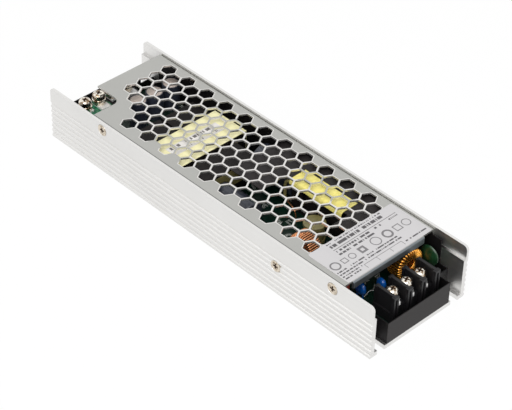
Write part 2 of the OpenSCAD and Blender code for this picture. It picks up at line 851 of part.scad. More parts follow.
module board_pillars() {
    color("silver")
    for (x = pillar_x, side = [-1, 1])
        difference() {
            post(x, side * pillar_y, base_t, board_z0, pillar_d);
            post(x, side * pillar_y, base_t - cut, board_z0 + cut, board_screw_d + 2 * screw_gap);
        }
}

module board_screws() {
    color("silver")
    for (x = pillar_x, side = [-1, 1])
        translate([x, side * pillar_y, board_z])
            pan_screw(board_screw_d, board_head_d, board_head_h, board_t + pillar_h - screw_gap);
}

// Terminal block: places along X and heights
in_x1 = end_x - in_front;
in_x0 = in_x1 - in_l;
in_screw_px = in_x1 - in_screw_x;
in_floor_z = board_z + in_floor;
in_top_z = board_z + in_h;
contact_z = in_floor_z + contact_t;
clamp_z = contact_z + clamp_t;
in_floor_x1 = in_x1 - in_post_l;
contact_x1 = in_screw_px + contact_w / 2;

function in_cell_y(i) = in_side + (i - (in_poles - 1) / 2) * in_pitch;
function in_wall_y(i) = in_side + (i - in_poles / 2) * in_pitch;

// One barrier with a slotted post at its front and a small tab at its back
module barrier(y) {
    difference() {
        union() {
            block(in_x0, in_x1, y - in_wall / 2, y + in_wall / 2, board_z, in_top_z);
            block(in_x0, in_x0 + in_wall, y - in_tab / 2, y + in_tab / 2, board_z, in_top_z);
            block(in_x1 - in_post_l, in_x1, y - in_post / 2, y + in_post / 2, board_z, in_top_z);
        }
        block(in_x1 - in_post_l / 2, in_x1 + cut, y - in_slot / 2, y + in_slot / 2,
              board_z + in_wall, in_top_z - in_wall);
    }
}

module input_block() {
    half = in_poles * in_pitch / 2;
    color("dimgray")
    difference() {
        union() {
            block(in_x0, in_floor_x1, in_side - half, in_side + half, board_z, in_floor_z);
            block(in_x0, in_floor_x1, in_side - half - in_wall / 2 - in_foot,
                  in_side + half + in_wall / 2 + in_foot, board_z, board_z + in_foot_h);
            for (i = [0 : in_poles]) barrier(in_wall_y(i));
        }
        for (i = [0 : in_poles - 1])
            post(in_screw_px, in_cell_y(i), in_floor_z - in_screw_l, in_floor_z + cut,
                 in_screw_d + 2 * screw_gap);
    }
}

// Contact plates on the cell floors, with a narrow round tip at the front
module input_contacts() {
    color("silver")
    for (i = [0 : in_poles - 1])
        translate([0, in_cell_y(i), in_floor_z])
            linear_extrude(contact_t)
                difference() {
                    union() {
                        translate([in_x0 + in_wall, -contact_w / 2])
                            square([contact_x1 - in_x0 - in_wall, contact_w]);
                        translate([contact_x1, -tip_w / 2])
                            square([in_floor_x1 - tip_w / 2 - contact_x1, tip_w]);
                        translate([in_floor_x1 - tip_w / 2, 0]) circle(d = tip_w);
                    }
                    translate([in_screw_px, 0]) circle(d = in_screw_d + 2 * screw_gap);
                }
}

module input_clamps() {
    color("silver")
    for (i = [0 : in_poles - 1])
        translate([in_screw_px, in_cell_y(i), contact_z])
            linear_extrude(clamp_t)
                difference() {
                    square(clamp_w, center = true);
                    circle(d = in_screw_d + 2 * screw_gap);
                }
}

module input_screws() {
    color("silver")
    for (i = [0 : in_poles - 1])
        translate([in_screw_px, in_cell_y(i), clamp_z + in_lift])
            pan_screw(in_screw_d, in_head_d, in_head_h, in_screw_l + in_lift);
}

// Output terminals: places and heights
out_px = -end_x + out_screw_x;
out_x0 = out_px - washer_d / 2 - board_gap;
out_x1 = out_x0 + out_board_l;
out_base_z = board_z + out_h;
out_board_z = out_base_z + out_board_t;
lug_z = out_board_z + lug_t;
nut_z = lug_z + nut_h;
washer_z = nut_z + washer_t;
spring_z = washer_z + spring_t;
out_screw_l = spring_z - out_board_z;
out_y0 = -tongue_y;

function out_y_at(i) = out_y0 + out_edge + i * out_pitch;

out_y1 = out_y_at(out_poles - 1) + out_pitch / 2;
out_step_y = out_y_at(out_board_poles - 1) + out_pitch / 2;

// Base of the output terminals: low under the board, and as high as the board under the other screws
module output_block() {
    color("dimgray")
    translate([out_x0, 0, 0]) rotate([90, 0, 90])
        linear_extrude(out_board_l)
            polygon([[out_y0, board_z], [out_y1, board_z], [out_y1, out_board_z],
                     [out_step_y, out_board_z], [out_step_y, out_base_z], [out_y0, out_base_z]]);
}

module output_board() {
    color("darkgreen")
    block(out_x0, out_x1, out_y0, out_step_y, out_base_z, out_board_z);
}

// Six-sided nuts standing on the lugs
module output_nuts() {
    color("silver")
    for (i = [0 : out_poles - 1])
        translate([out_px, out_y_at(i), lug_z])
            difference() {
                cylinder(h = nut_h, d = nut_w / cos(30), $fn = 6);
                translate([0, 0, -cut]) cylinder(h = nut_h + 2 * cut, d = out_screw_d + 2 * screw_gap);
            }
}

// Lug under the nut: every second one reaches behind its screw
module output_lug(i) {
    x1 = out_px + (i % 2 == 1 ? lug_l : washer_d / 2);
    difference() {
        block(out_px - washer_d / 2, x1, out_y_at(i) - lug_w / 2, out_y_at(i) + lug_w / 2,
              out_board_z, lug_z);
        post(out_px, out_y_at(i), out_board_z - cut, lug_z + cut, out_screw_d + 2 * screw_gap);
    }
}

module output_lugs() {
    color("silver")
    for (i = [0 : out_poles - 1]) output_lug(i);
}

// Flat washer and spring washer under each screw head
module output_washers() {
    color("silver")
    for (i = [0 : out_poles - 1])
        difference() {
            union() {
                post(out_px, out_y_at(i), nut_z, washer_z, washer_d);
                post(out_px, out_y_at(i), washer_z, spring_z, spring_d);
            }
            post(out_px, out_y_at(i), nut_z - cut, spring_z + cut, out_screw_d + 2 * screw_gap);
        }
}

module output_screws() {
    color("silver")
    for (i = [0 : out_poles - 1])
        translate([out_px, out_y_at(i), spring_z])
            pan_screw(out_screw_d, out_head_d, out_head_h, out_screw_l);
}

// Ring with its axis along X, between two radii, over a span of angles
module ring_x_axis(r0, r1, w) {
    rotate([0, 90, 0])
        rotate_extrude() translate([r0, -w / 2]) square([r1 - r0, w]);
}

choke_d = cover_z - lip_h - choke_drop - board_z;
choke_px = end_x - choke_in - choke_l / 2;
varistor_y = film_y - varistor_wall;
choke_py = varistor_y - varistor_t / 2 - choke_gap - choke_d / 2;
choke_pz = board_z + choke_d / 2;
choke_r = choke_d / 2 - choke_wire;

module choke_core() {
    color("dimgray")
    translate([choke_px, choke_py, choke_pz])
        ring_x_axis(choke_r - choke_ring, choke_r, choke_l - 2 * choke_wire);
}

// Two windings around the core, with a narrow gap between them
module choke_windings() {
    color("goldenrod")
    translate([choke_px, choke_py, choke_pz])
        for (side = [0, 180])
            rotate([side, 0, 0])
                difference() {
                    rotate([0, 90, 0]) rotate([0, 0, choke_split / 2])
                        rotate_extrude(angle = 180 - choke_split)
                            translate([choke_r - choke_ring - choke_wire, -choke_l / 2])
                                square([choke_ring + 2 * choke_wire, choke_l]);
                    ring_x_axis(choke_r - choke_ring, choke_r, choke_l - 2 * choke_wire);
                }
}

// Coated disc standing on edge with its faces across Y, on two leads
module disc_part(d, t, z) {
    spread = 0.28 * d;
    rim = 0.2 * t;
    translate([0, 0, z]) rotate([90, 0, 0])
        rotate_extrude()
            polygon([[0, -t / 2], [0.36 * d, -t / 2], [0.46 * d, -0.36 * t], [0.5 * d, -rim],
                     [0.5 * d, rim], [0.46 * d, 0.36 * t], [0.36 * d, t / 2], [0, t / 2]]);
    for (side = [-1, 1])
        translate([side * spread - lead_d / 2, -lead_d / 2, 0]) cube([lead_d, lead_d, z - spread]);
}

module varistor() {
    color("darkgreen")
    translate([end_x - varistor_in, varistor_y, board_z]) disc_part(varistor_d, varistor_t, varistor_z);
}

module blue_capacitors() {
    color("royalblue")
    for (place = [[blue_a_in, blue_a_edge - main_y], [blue_b_in, blue_b_side]])
        translate([end_x - place[0], place[1], board_z]) rotate(blue_turn)
            disc_part(blue_d, blue_t, blue_z);
}

// Drum-shaped fuse standing on the board
module input_fuse() {
    color("firebrick")
    translate([end_x - fuse_in, fuse_edge - main_y, board_z])
        rotate_extrude()
            polygon([[0, 0], [fuse_d / 2, 0], [fuse_d / 2, 0.9 * fuse_h], [0.44 * fuse_d, fuse_h],
                     [0, fuse_h]]);
}

module x_capacitor() {
    color("lightgray")
    translate([0, 0, board_z]) linear_extrude(tall_h)
        rounded_plate(xcap_x1 - xcap_l, xcap_x1, -xcap_w / 2, xcap_w / 2, xcap_r);
}

// Flat rectifier standing on its four leads, with the clamp screw's hole
module bridge_rectifier() {
    z0 = board_z + bridge_z;
    x0 = clamp_screw_x - bridge_w / 2;
    color("dimgray")
    difference() {
        union() {
            block(x0, x0 + bridge_w, bridge_y, clamp_y, z0, z0 + bridge_h);
            for (i = [0 : 3])
                translate([x0 + (i + 0.5) * bridge_w / 4 - leg_w / 2, bridge_y + bridge_t / 2, board_z])
                    cube([leg_w, lead_d, bridge_z + cut]);
        }
        translate([clamp_screw_x, bridge_y - cut, clamp_screw_z]) rotate([-90, 0, 0])
            cylinder(h = bridge_t + 2 * cut, d = side_screw_d + 2 * screw_gap);
    }
}

module rectifier_pad() {
    z0 = board_z + bridge_z;
    color("lightsteelblue")
    difference() {
        block(clamp_screw_x - bridge_w / 2, clamp_screw_x + bridge_w / 2, pad_y, bridge_y,
              z0, z0 + bridge_h);
        translate([clamp_screw_x, pad_y - cut, clamp_screw_z]) rotate([-90, 0, 0])
            cylinder(h = pad_t + 2 * cut, d = side_screw_d + 2 * screw_gap);
    }
}

// Tapped steel bar that the clamp screw pulls against the rectifier
module rectifier_clamp() {
    color("silver")
    difference() {
        block(clamp_screw_x - bridge_w / 2, clamp_screw_x + bridge_w / 2, clamp_y, clamp_y + bar_t,
              clamp_screw_z - bar_h / 2, clamp_screw_z + bar_h / 2);
        translate([clamp_screw_x, clamp_y - cut, clamp_screw_z]) rotate([-90, 0, 0])
            cylinder(h = bar_t + 2 * cut, d = side_screw_d + 2 * screw_gap);
    }
}

// Ring choke standing on edge with its axis along Y
ring_r = ring_d / 2 - ring_wire;
ring_x = flap_x1 - ring_gap - ring_d / 2;

module ring_y_axis(r0, r1, w) {
    rotate([90, 0, 0]) rotate_extrude() translate([r0, -w / 2]) square([r1 - r0, w]);
}

module ring_core() {
    color("olivedrab")
    translate([ring_x, ring_side, board_z + ring_d / 2])
        ring_y_axis(ring_r - ring_core_t, ring_r, ring_w - 2 * ring_wire);
}

module ring_winding() {
    color("peru")
    translate([ring_x, ring_side, board_z + ring_d / 2])
        difference() {
            ring_y_axis(ring_r - ring_core_t - ring_wire, ring_r + ring_wire, ring_w);
            ring_y_axis(ring_r - ring_core_t, ring_r, ring_w - 2 * ring_wire);
        }
}

drum_y = tape_y - tape_t - drum_gap - drum_d / 2;

// Drum inductor with its tape between two flanges
module drum_inductor() {
    color("darkkhaki")
    translate([drum_x, drum_y, board_z])
        rotate_extrude()
            polygon([[0, 0], [drum_d / 2, 0], [drum_d / 2, 0.14 * drum_h], [0.46 * drum_d, 0.14 * drum_h],
                     [0.46 * drum_d, 0.86 * drum_h], [drum_d / 2, 0.86 * drum_h], [drum_d / 2, drum_h],
                     [0, drum_h]]);
}

trafo_x0 = trafo_x - trafo_l / 2;
trafo_x1 = trafo_x + trafo_l / 2;
trafo_y0 = trafo_side - trafo_w / 2;
trafo_y1 = trafo_side + trafo_w / 2;
trafo_z1 = flap_z;

// Closed ferrite core with a window through it along the channel
module transformer_core() {
    color("dimgray")
    difference() {
        block(trafo_x0, trafo_x1, trafo_y0, trafo_y1, board_z, trafo_z1);
        block(trafo_x0 - cut, trafo_x1 + cut, trafo_y0 + trafo_yoke, trafo_y1 - trafo_yoke,
              board_z + trafo_shell, trafo_z1 - trafo_shell);
    }
}

module transformer_winding() {
    color("darkkhaki")
    block(trafo_x0, trafo_x1, trafo_y0 + trafo_yoke, trafo_y1 - trafo_yoke,
          board_z + trafo_shell, trafo_z1 - trafo_shell);
}

// Tape over the top and both ends of the core
module transformer_tape() {
    color("lemonchiffon") {
        block(trafo_x0, trafo_x1, trafo_y0 - tape_t, trafo_y1 + tape_t, trafo_z1, trafo_z1 + tape_t);
        for (y = [trafo_y0 - tape_t, trafo_y1])
            block(trafo_x0, trafo_x1, y, y + tape_t, board_z, trafo_z1 + tape_t);
    }
}

module transformer_label() {
    color("white")
    block(trafo_x + slip_x - slip_w / 2, trafo_x + slip_x + slip_w / 2,
          trafo_side + slip_y - slip_l / 2, trafo_side + slip_y + slip_l / 2,
          trafo_z1 + tape_t, trafo_z1 + tape_t + label_t);
}

control_y = -main_y + control_inset;
bulk_d = tall_h - bulk_drop;
bulk_y = film_y - bulk_wall - bulk_d / 2;
bulk_l = boost_x - boost_l / 2 - bulk_gap - bulk_x;

aux_x0 = aux_x - aux_l / 2;
aux_x1 = aux_x + aux_l / 2;
aux_y0 = control_y + control_t / 2 + aux_gap;
aux_y1 = bulk_y - bulk_d / 2 - aux_gap;
aux_z1 = flap_z - aux_drop;
aux_tape_z = aux_z1 - aux_tape_h - trafo_shell / 2;

module aux_core() {
    color("dimgray")
    block(aux_x0, aux_x1, aux_y0, aux_y1, board_z, aux_z1);
}

// Band of tape around the small transformer
module aux_tape() {
    color("darkkhaki")
    difference() {
        block(aux_x0 - tape_t, aux_x1 + tape_t, aux_y0 - tape_t, aux_y1 + tape_t,
              aux_tape_z, aux_tape_z + aux_tape_h);
        block(aux_x0, aux_x1, aux_y0, aux_y1, aux_tape_z - cut, aux_tape_z + aux_tape_h + cut);
    }
}

// Block-shaped choke under the flap, with a shallow winding window in its inner face
module boost_choke() {
    color("dimgray")
    difference() {
        block(boost_x - boost_l / 2, boost_x + boost_l / 2, tape_y, tape_y + boost_w, board_z, flap_z);
        block(boost_x - boost_gap / 2, boost_x + boost_gap / 2, tape_y - cut, tape_y + boost_depth,
              board_z + trafo_shell, flap_z - trafo_shell);
    }
}

module output_choke() {
    x0 = outchoke_x - outchoke_l / 2;
    color("dimgray")
    difference() {
        block(x0, x0 + outchoke_l, -outchoke_w / 2, outchoke_w / 2, board_z, board_z + outchoke_h);
        block(x0 - cut, x0 + outchoke_l + cut, -outchoke_split / 2, outchoke_split / 2,
              board_z + outchoke_h / 2, board_z + outchoke_h + cut);
    }
}

// Aluminium can with a rolled groove near its open end, standing on z = 0
module can(d, h) {
    rotate_extrude()
        polygon([[0, 0], [0.48 * d, 0], [0.5 * d, 0.02 * d], [0.5 * d, 0.14 * d], [0.46 * d, 0.18 * d],
                 [0.5 * d, 0.22 * d], [0.5 * d, h - 0.05 * d], [0.45 * d, h], [0, h]]);
}

module bulk_capacitor() {
    color("darkslategray")
    translate([bulk_x, bulk_y, board_z + bulk_d / 2]) rotate([0, 90, 0]) can(bulk_d, bulk_l);
}

module aux_capacitor() {
    color("darkslategray")
    translate([aux_x1 + tape_t + auxcap_gap, auxcap_side, board_z + auxcap_d / 2])
        rotate([0, 90, 0]) can(auxcap_d, auxcap_l);
}

outcap_y = film_y - outcap_wall - outcap_d / 2;

module output_capacitors() {
    color("rosybrown")
    for (i = [0 : outcap_n - 1])
        translate([-end_x + outcap_out, outcap_y - i * outcap_pitch, board_z]) can(outcap_d, outcap_h);
}

module control_board() {
    color("darkgreen")
    block(control_x - control_l / 2, control_x + control_l / 2, control_y - control_t / 2,
          control_y + control_t / 2, board_z, board_z + control_h);
}

// Flat chips on the inner face of the control board
module control_chips() {
    color("dimgray")
    for (i = [0 : chip_n - 1])
        translate([control_x + (i - (chip_n - 1) / 2) * control_l / chip_n,
                   control_y + control_t / 2 + chip_t / 2, board_z + control_h / 2])
            cube([chip_w, chip_t, chip_w], center = true);
}

// Footprint of one transistor under the board, as a box between two heights
module fet_box(i, z0, z1, gap) {
    x = (i - (fet_n - 1) / 2) * fet_pitch;
    half = fet_w / 2 + gap;
    block(x - half, x + half, -half, half, z0, z1);
}

module switch_transistors() {
    color("dimgray")
    for (i = [0 : fet_n - 1]) fet_box(i, board_z0 - fet_t, board_z0, 0);
}

module thermal_pads() {
    color("lightsteelblue")
    for (i = [0 : fet_n - 1]) fet_box(i, base_t, board_z0 - fet_t, 0);
}

chassis();
top_cover();
rating_label();
cover_screws();
clamp_screw();
insulation_tray();
insulation_flap();
flap_tape();
circuit_board();
board_pillars();
board_screws();
input_block();
input_contacts();
input_clamps();
input_screws();
output_block();
output_board();
output_nuts();
output_lugs();
output_washers();
output_screws();
choke_core();
choke_windings();
varistor();
blue_capacitors();
input_fuse();
x_capacitor();
bridge_rectifier();
rectifier_pad();
rectifier_clamp();
ring_core();
ring_winding();
drum_inductor();
transformer_core();
transformer_winding();
transformer_tape();
transformer_label();
aux_core();
aux_tape();
boost_choke();
output_choke();
bulk_capacitor();
aux_capacitor();
output_capacitors();
control_board();
control_chips();
switch_transistors();
thermal_pads();
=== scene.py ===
"""Looks of an enclosed switching power supply.

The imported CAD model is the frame. Finished pieces are modelled over it in the same
place, every surface gets a procedural finish, and a pale studio and a camera follow.
Sizes are in millimetres and are turned into metres where a mesh is made.
"""

import json
import logging
import math
from dataclasses import dataclass
from enum import Enum
from typing import Any, Callable, ClassVar, Iterable, Mapping, Sequence

import bmesh
import bpy
from mathutils import Matrix, Vector


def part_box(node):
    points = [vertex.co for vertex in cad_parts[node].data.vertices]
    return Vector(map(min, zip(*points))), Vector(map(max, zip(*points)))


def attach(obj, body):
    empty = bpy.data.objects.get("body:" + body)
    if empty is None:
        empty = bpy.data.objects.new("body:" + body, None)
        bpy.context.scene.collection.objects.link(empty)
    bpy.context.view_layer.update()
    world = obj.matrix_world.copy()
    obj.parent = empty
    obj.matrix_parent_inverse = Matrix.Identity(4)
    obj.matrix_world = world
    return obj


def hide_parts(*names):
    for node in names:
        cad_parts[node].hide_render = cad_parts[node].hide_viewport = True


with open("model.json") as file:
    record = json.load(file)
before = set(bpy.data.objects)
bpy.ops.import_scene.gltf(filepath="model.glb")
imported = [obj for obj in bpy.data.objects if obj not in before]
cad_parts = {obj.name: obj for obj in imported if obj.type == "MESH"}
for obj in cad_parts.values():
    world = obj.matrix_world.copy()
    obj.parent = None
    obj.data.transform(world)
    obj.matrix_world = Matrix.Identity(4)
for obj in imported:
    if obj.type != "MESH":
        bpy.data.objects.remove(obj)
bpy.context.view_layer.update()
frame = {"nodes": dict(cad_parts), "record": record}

MM = 0.001
BODY = "root"
PHOTO_WIDTH_PX = 512
COS_30 = math.cos(math.pi / 6)
WHITE = (1.0, 1.0, 1.0)

# Share of a unit direction from which it counts as running along an axis, and as facing straight up.
ALONG = 0.9
UPWARD = 0.99
# How far from a height, in millimetres, what is picked there may lie.
SLACK = 0.1
# How far a cutter reaches past what it cuts, in millimetres.
OVERCUT = 1.0

LOG = logging.getLogger("power_supply")

Piece = bpy.types.Object
Socket = bpy.types.NodeSocket
Material = bpy.types.Material
Point = tuple[float, float, float]
Colour = tuple[float, float, float]
Test = Callable[[Vector, Vector], bool]


class Axis(Enum):
    """Direction that a rod or ring runs along, with the turn that lays Z onto it."""

    X = (0.0, math.pi / 2, 0.0)
    Y = (math.pi / 2, 0.0, 0.0)
    Z = (0.0, 0.0, 0.0)


class Part(Enum):
    """Kind of mesh element that edit mode picks."""

    FACE = "FACE"
    EDGE = "EDGE"


class Wall(Enum):
    """Side wall of the channel, as the sign of its Y."""

    NEAR = -1
    FAR = 1


class Crease(Enum):
    """Angle in degrees up to which neighbouring faces are shaded as one."""

    SHARP = 30
    PLAIN = 40
    SOFT = 50
    ROUND = 60
    WIRE = 70


def node_box(name: str) -> tuple[Vector, Vector]:
    """Corners of a CAD node.

    Args:
        name: the node's name.

    Returns:
        The lowest and highest corner, in millimetres.
    """
    low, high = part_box(name)
    return low / MM, high / MM


def linear_channel(value: int) -> float:
    """One channel of a screen colour, by the sRGB formula."""
    share = value / 255
    return share / 12.92 if share <= 0.04045 else ((share + 0.055) / 1.055) ** 2.4


def linear(red: int, green: int, blue: int) -> Colour:
    """Turns a screen colour of 0 to 255 into the linear one that a shader takes."""
    return linear_channel(red), linear_channel(green), linear_channel(blue)


def shaded(colour: Colour, factor: float) -> Colour:
    """Colour made lighter or darker by a factor."""
    return tuple(min(1.0, channel * factor) for channel in colour)


class Bench:
    """Modelling bench: each tool adds or shapes a mesh with Blender's operators."""

    BALL_SEGMENTS = 32
    BALL_RINGS = 16
    SOFT_SEGMENTS = 2
    SHARP_DEGREES = 35
    RECESS_TAPER = 0.55

    def clear(self) -> None:
        """Leaves edit mode and deselects everything."""
        if bpy.context.object and bpy.context.object.mode != "OBJECT":
            bpy.ops.object.mode_set(mode="OBJECT")
        bpy.ops.object.select_all(action="DESELECT")

    def focus(self, piece: Piece) -> None:
        """Selects one piece alone and makes it active.

        Args:
            piece: the piece.
        """
        self.clear()
        piece.select_set(True)
        bpy.context.view_layer.objects.active = piece

    def settle(self, name: str) -> Piece:
        """Names the active piece and moves its place into its mesh.

        Args:
            name: name of the piece.

        Returns:
            The piece, at the origin, unturned and unscaled.
        """
        piece = bpy.context.active_object
        piece.name = name
        piece.data.name = name
        bpy.ops.object.transform_apply(location=True, rotation=True, scale=True)
        return piece

    def block(self, name: str, low: Sequence[float], high: Sequence[float]) -> Piece:
        """Adds a box.

        Args:
            name: name of the piece.
            low: lowest corner.
            high: highest corner.

        Returns:
            The box.
        """
        self.clear()
        low, high = Vector(low), Vector(high)
        bpy.ops.mesh.primitive_cube_add(size=1, location=(low + high) / 2 * MM, scale=(high - low) * MM)
        return self.settle(name)

    def rod(self, name: str, middle: Sequence[float], radius: float, length: float,
            axis: Axis = Axis.Z, sides: int = 32, end_radius: float | None = None) -> Piece:
        """Adds a cylinder or a cone.

        Args:
            name: name of the piece.
            middle: centre of the rod.
            radius: radius at the low end.
            length: length along the axis.
            axis: direction of the rod.
            sides: number of sides.
            end_radius: radius at the high end, the same when left out.

        Returns:
            The rod.
        """
        self.clear()
        end = radius if end_radius is None else end_radius
        bpy.ops.mesh.primitive_cone_add(
            vertices=sides, radius1=radius * MM, radius2=end * MM, depth=length * MM,
            location=Vector(middle) * MM, rotation=axis.value)
        return self.settle(name)

    def ball(self, name: str, middle: Sequence[float], radii: Sequence[float], turn: float = 0.0) -> Piece:
        """Adds an ellipsoid turned about Z.

        Args:
            name: name of the piece.
            middle: its centre.
            radii: its three radii.
            turn: turn about Z in degrees.

        Returns:
            The ellipsoid.
        """
        self.clear()
        bpy.ops.mesh.primitive_uv_sphere_add(
            segments=self.BALL_SEGMENTS, ring_count=self.BALL_RINGS, radius=1,
            location=Vector(middle) * MM, rotation=(0, 0, math.radians(turn)), scale=Vector(radii) * MM)
        return self.settle(name)

    def tube(self, name: str, route: Sequence[Point], radius: float) -> Piece:
        """Adds a round wire along a smooth route.

        Args:
            name: name of the piece.
            route: points that the wire follows.
            radius: radius of the wire.

        Returns:
            The wire as a mesh.
        """
        self.clear()
        bpy.ops.curve.primitive_nurbs_path_add(location=(0, 0, 0))
        curve = bpy.context.active_object.data
        spline = curve.splines[0]
        spline.points.add(len(route) - len(spline.points))
        for point, place in zip(spline.points, route):
            point.co = (*(Vector(place) * MM), 1.0)
        spline.use_endpoint_u = True
        spline.order_u = 3
        spline.resolution_u = 6
        curve.bevel_depth = radius * MM
        curve.bevel_resolution = 2
        curve.use_fill_caps = True
        bpy.ops.object.convert(target="MESH")
        return self.settle(name)

    def loop(self, name: str, width: float, height: float, corner: float, radius: float) -> Piece:
        """Adds one turn of wire around a rounded rectangle in the XY plane.

        Args:
            name: name of the piece.
            width: size of the wire's centre line along X.
            height: size of the centre line along Y.
            corner: rounding of the corners.
            radius: radius of the wire.

        Returns:
            The turn as a mesh around the origin.
        """
        self.clear()
        bpy.ops.mesh.primitive_plane_add(size=1)
        bpy.ops.object.mode_set(mode="EDIT")
        bpy.ops.mesh.select_all(action="SELECT")
        bpy.ops.transform.resize(value=(width * MM, height * MM, 1), center_override=(0, 0, 0))
        bpy.ops.mesh.bevel(offset=corner * MM, segments=3, affect="VERTICES")
        bpy.ops.mesh.select_all(action="SELECT")
        bpy.ops.mesh.delete(type="ONLY_FACE")
        bpy.ops.object.mode_set(mode="OBJECT")
        bpy.ops.object.convert(target="CURVE")
        curve = bpy.context.active_object.data
        curve.bevel_depth = radius * MM
        curve.bevel_resolution = 1
        bpy.ops.object.convert(target="MESH")
        return self.settle(name)

    def place(self, piece: Piece, offset: Sequence[float],
              turn: Sequence[float] = (0.0, 0.0, 0.0)) -> Piece:
        """Turns a piece about the origin and moves it, in its mesh.

        Args:
            piece: the piece.
            offset: move in millimetres.
            turn: turns about X, Y and Z in radians.

        Returns:
            The same piece.
        """
        self.focus(piece)
        piece.rotation_euler = turn
        piece.location = Vector(offset) * MM
        bpy.ops.object.transform_apply(location=True, rotation=True, scale=True)
        return piece

    def copies(self, piece: Piece, offsets: Iterable[Sequence[float]],
               turn: Sequence[float] = (0.0, 0.0, 0.0)) -> list[Piece]:
        """Copies a pattern piece to each place, and removes the pattern.

        Args:
            piece: the pattern, around the origin.
            offsets: places of the copies.
            turn: turn of each copy in radians.

        Returns:
            The copies, each with its own mesh.
        """
        made = []
        for offset in offsets:
            self.focus(piece)
            bpy.ops.object.duplicate(linked=False)
            made.append(self.place(bpy.context.active_object, offset, turn))
        bpy.data.objects.remove(piece)
        return made

    def pick(self, piece: Piece, part: Part, test: Test) -> None:
        """Enters edit mode with the chosen elements selected.

        Args:
            piece: the piece to edit.
            part: faces or edges.
            test: takes an element's centre in millimetres and its normal or direction.
        """
        self.focus(piece)
        bpy.ops.object.mode_set(mode="EDIT")
        bpy.ops.mesh.select_mode(type=part.value)
        bpy.ops.mesh.select_all(action="DESELECT")
        mesh = bmesh.from_edit_mesh(piece.data)
        if part is Part.FACE:
            for face in mesh.faces:
                face.select_set(test(face.calc_center_median() / MM, face.normal))
        else:
            for edge in mesh.edges:
                start, end = (vertex.co for vertex in edge.verts)
                edge.select_set(test((start + end) / 2 / MM, (end - start).normalized()))
        bmesh.update_edit_mesh(piece.data)

    def round_edges(self, piece: Piece, test: Test, width: float, segments: int) -> None:
        """Bevels the chosen edges in edit mode.

        Args:
            piece: the piece to edit.
            test: picks the edges by middle and direction.
            width: width of the bevel.
            segments: number of steps in it.
        """
        self.pick(piece, Part.EDGE, test)
        bpy.ops.mesh.bevel(offset=width * MM, segments=segments, affect="EDGES")
        self.clear()

    def round_top(self, piece: Piece, top: float, width: float, segments: int) -> None:
        """Bevels the edges that lie at the height of a piece's top."""
        self.round_edges(piece, lambda middle, way: middle.z > top - SLACK, width, segments)

    def recess(self, piece: Piece, test: Test, margin: float, depth: float) -> None:
        """Insets the chosen faces and pushes them in.

        Args:
            piece: the piece to edit.
            test: picks the faces by centre and normal.
            margin: width of the rim that is left.
            depth: how far the faces sink.
        """
        self.pick(piece, Part.FACE, test)
        bpy.ops.mesh.inset(thickness=margin * MM, depth=-depth * MM)
        self.clear()

    def modify(self, piece: Piece, kind: str, settings: Mapping[str, Any]) -> None:
        """Adds a modifier with its settings and applies it.

        Args:
            piece: the piece.
            kind: type of the modifier.
            settings: values of its properties.
        """
        self.focus(piece)
        modifier = piece.modifiers.new(kind.lower(), kind)
        for key, value in settings.items():
            setattr(modifier, key, value)
        bpy.ops.object.modifier_apply(modifier=modifier.name)

    def soften(self, piece: Piece, width: float) -> None:
        """Rounds every sharp edge of a piece by a small width."""
        self.modify(piece, "BEVEL", {
            "width": width * MM, "segments": self.SOFT_SEGMENTS,
            "limit_method": "ANGLE", "angle_limit": math.radians(self.SHARP_DEGREES)})

    def smooth(self, piece: Piece, crease: Crease = Crease.PLAIN) -> None:
        """Shades faces smooth across edges flatter than an angle."""
        self.focus(piece)
        bpy.ops.object.shade_smooth_by_angle(angle=math.radians(crease.value))

    def combine(self, piece: Piece, others: Iterable[Piece], operation: str) -> None:
        """Unites or cuts a piece with others, which are used up.

        Args:
            piece: the piece that stays.
            others: the pieces that are added or cut away.
            operation: UNION or DIFFERENCE.
        """
        for other in others:
            self.modify(piece, "BOOLEAN", {"operation": operation, "object": other, "solver": "EXACT",
                                           "material_mode": "TRANSFER"})
            bpy.data.objects.remove(other)

    def join(self, name: str, pieces: Sequence[Piece]) -> Piece:
        """Joins pieces into one object.

        Args:
            name: name of the result.
            pieces: what is joined.

        Returns:
            The joined object.
        """
        self.clear()
        for piece in pieces:
            piece.select_set(True)
        bpy.context.view_layer.objects.active = pieces[0]
        bpy.ops.object.join()
        return self.settle(name)

    def cross_cutter(self, span: float, width: float, top: float, depth: float) -> list[Piece]:
        """Adds two crossed wedges that cut a driver's recess.

        Args:
            span: length of each arm.
            width: width of an arm.
            top: height of the head's top.
            depth: depth of the recess.

        Returns:
            The two wedges.
        """
        wedges = []
        for along_x in (True, False):
            half = Vector((span, width)) / 2 if along_x else Vector((width, span)) / 2
            wedge = self.block("recess", (-half.x, -half.y, top - depth), (half.x, half.y, top + depth))
            self.pick(wedge, Part.FACE, lambda centre, normal: normal.z < -ALONG)
            taper = (self.RECESS_TAPER, self.RECESS_TAPER, 1)
            bpy.ops.transform.resize(value=taper, center_override=(0, 0, (top - depth) * MM))
            self.clear()
            wedges.append(wedge)
        return wedges


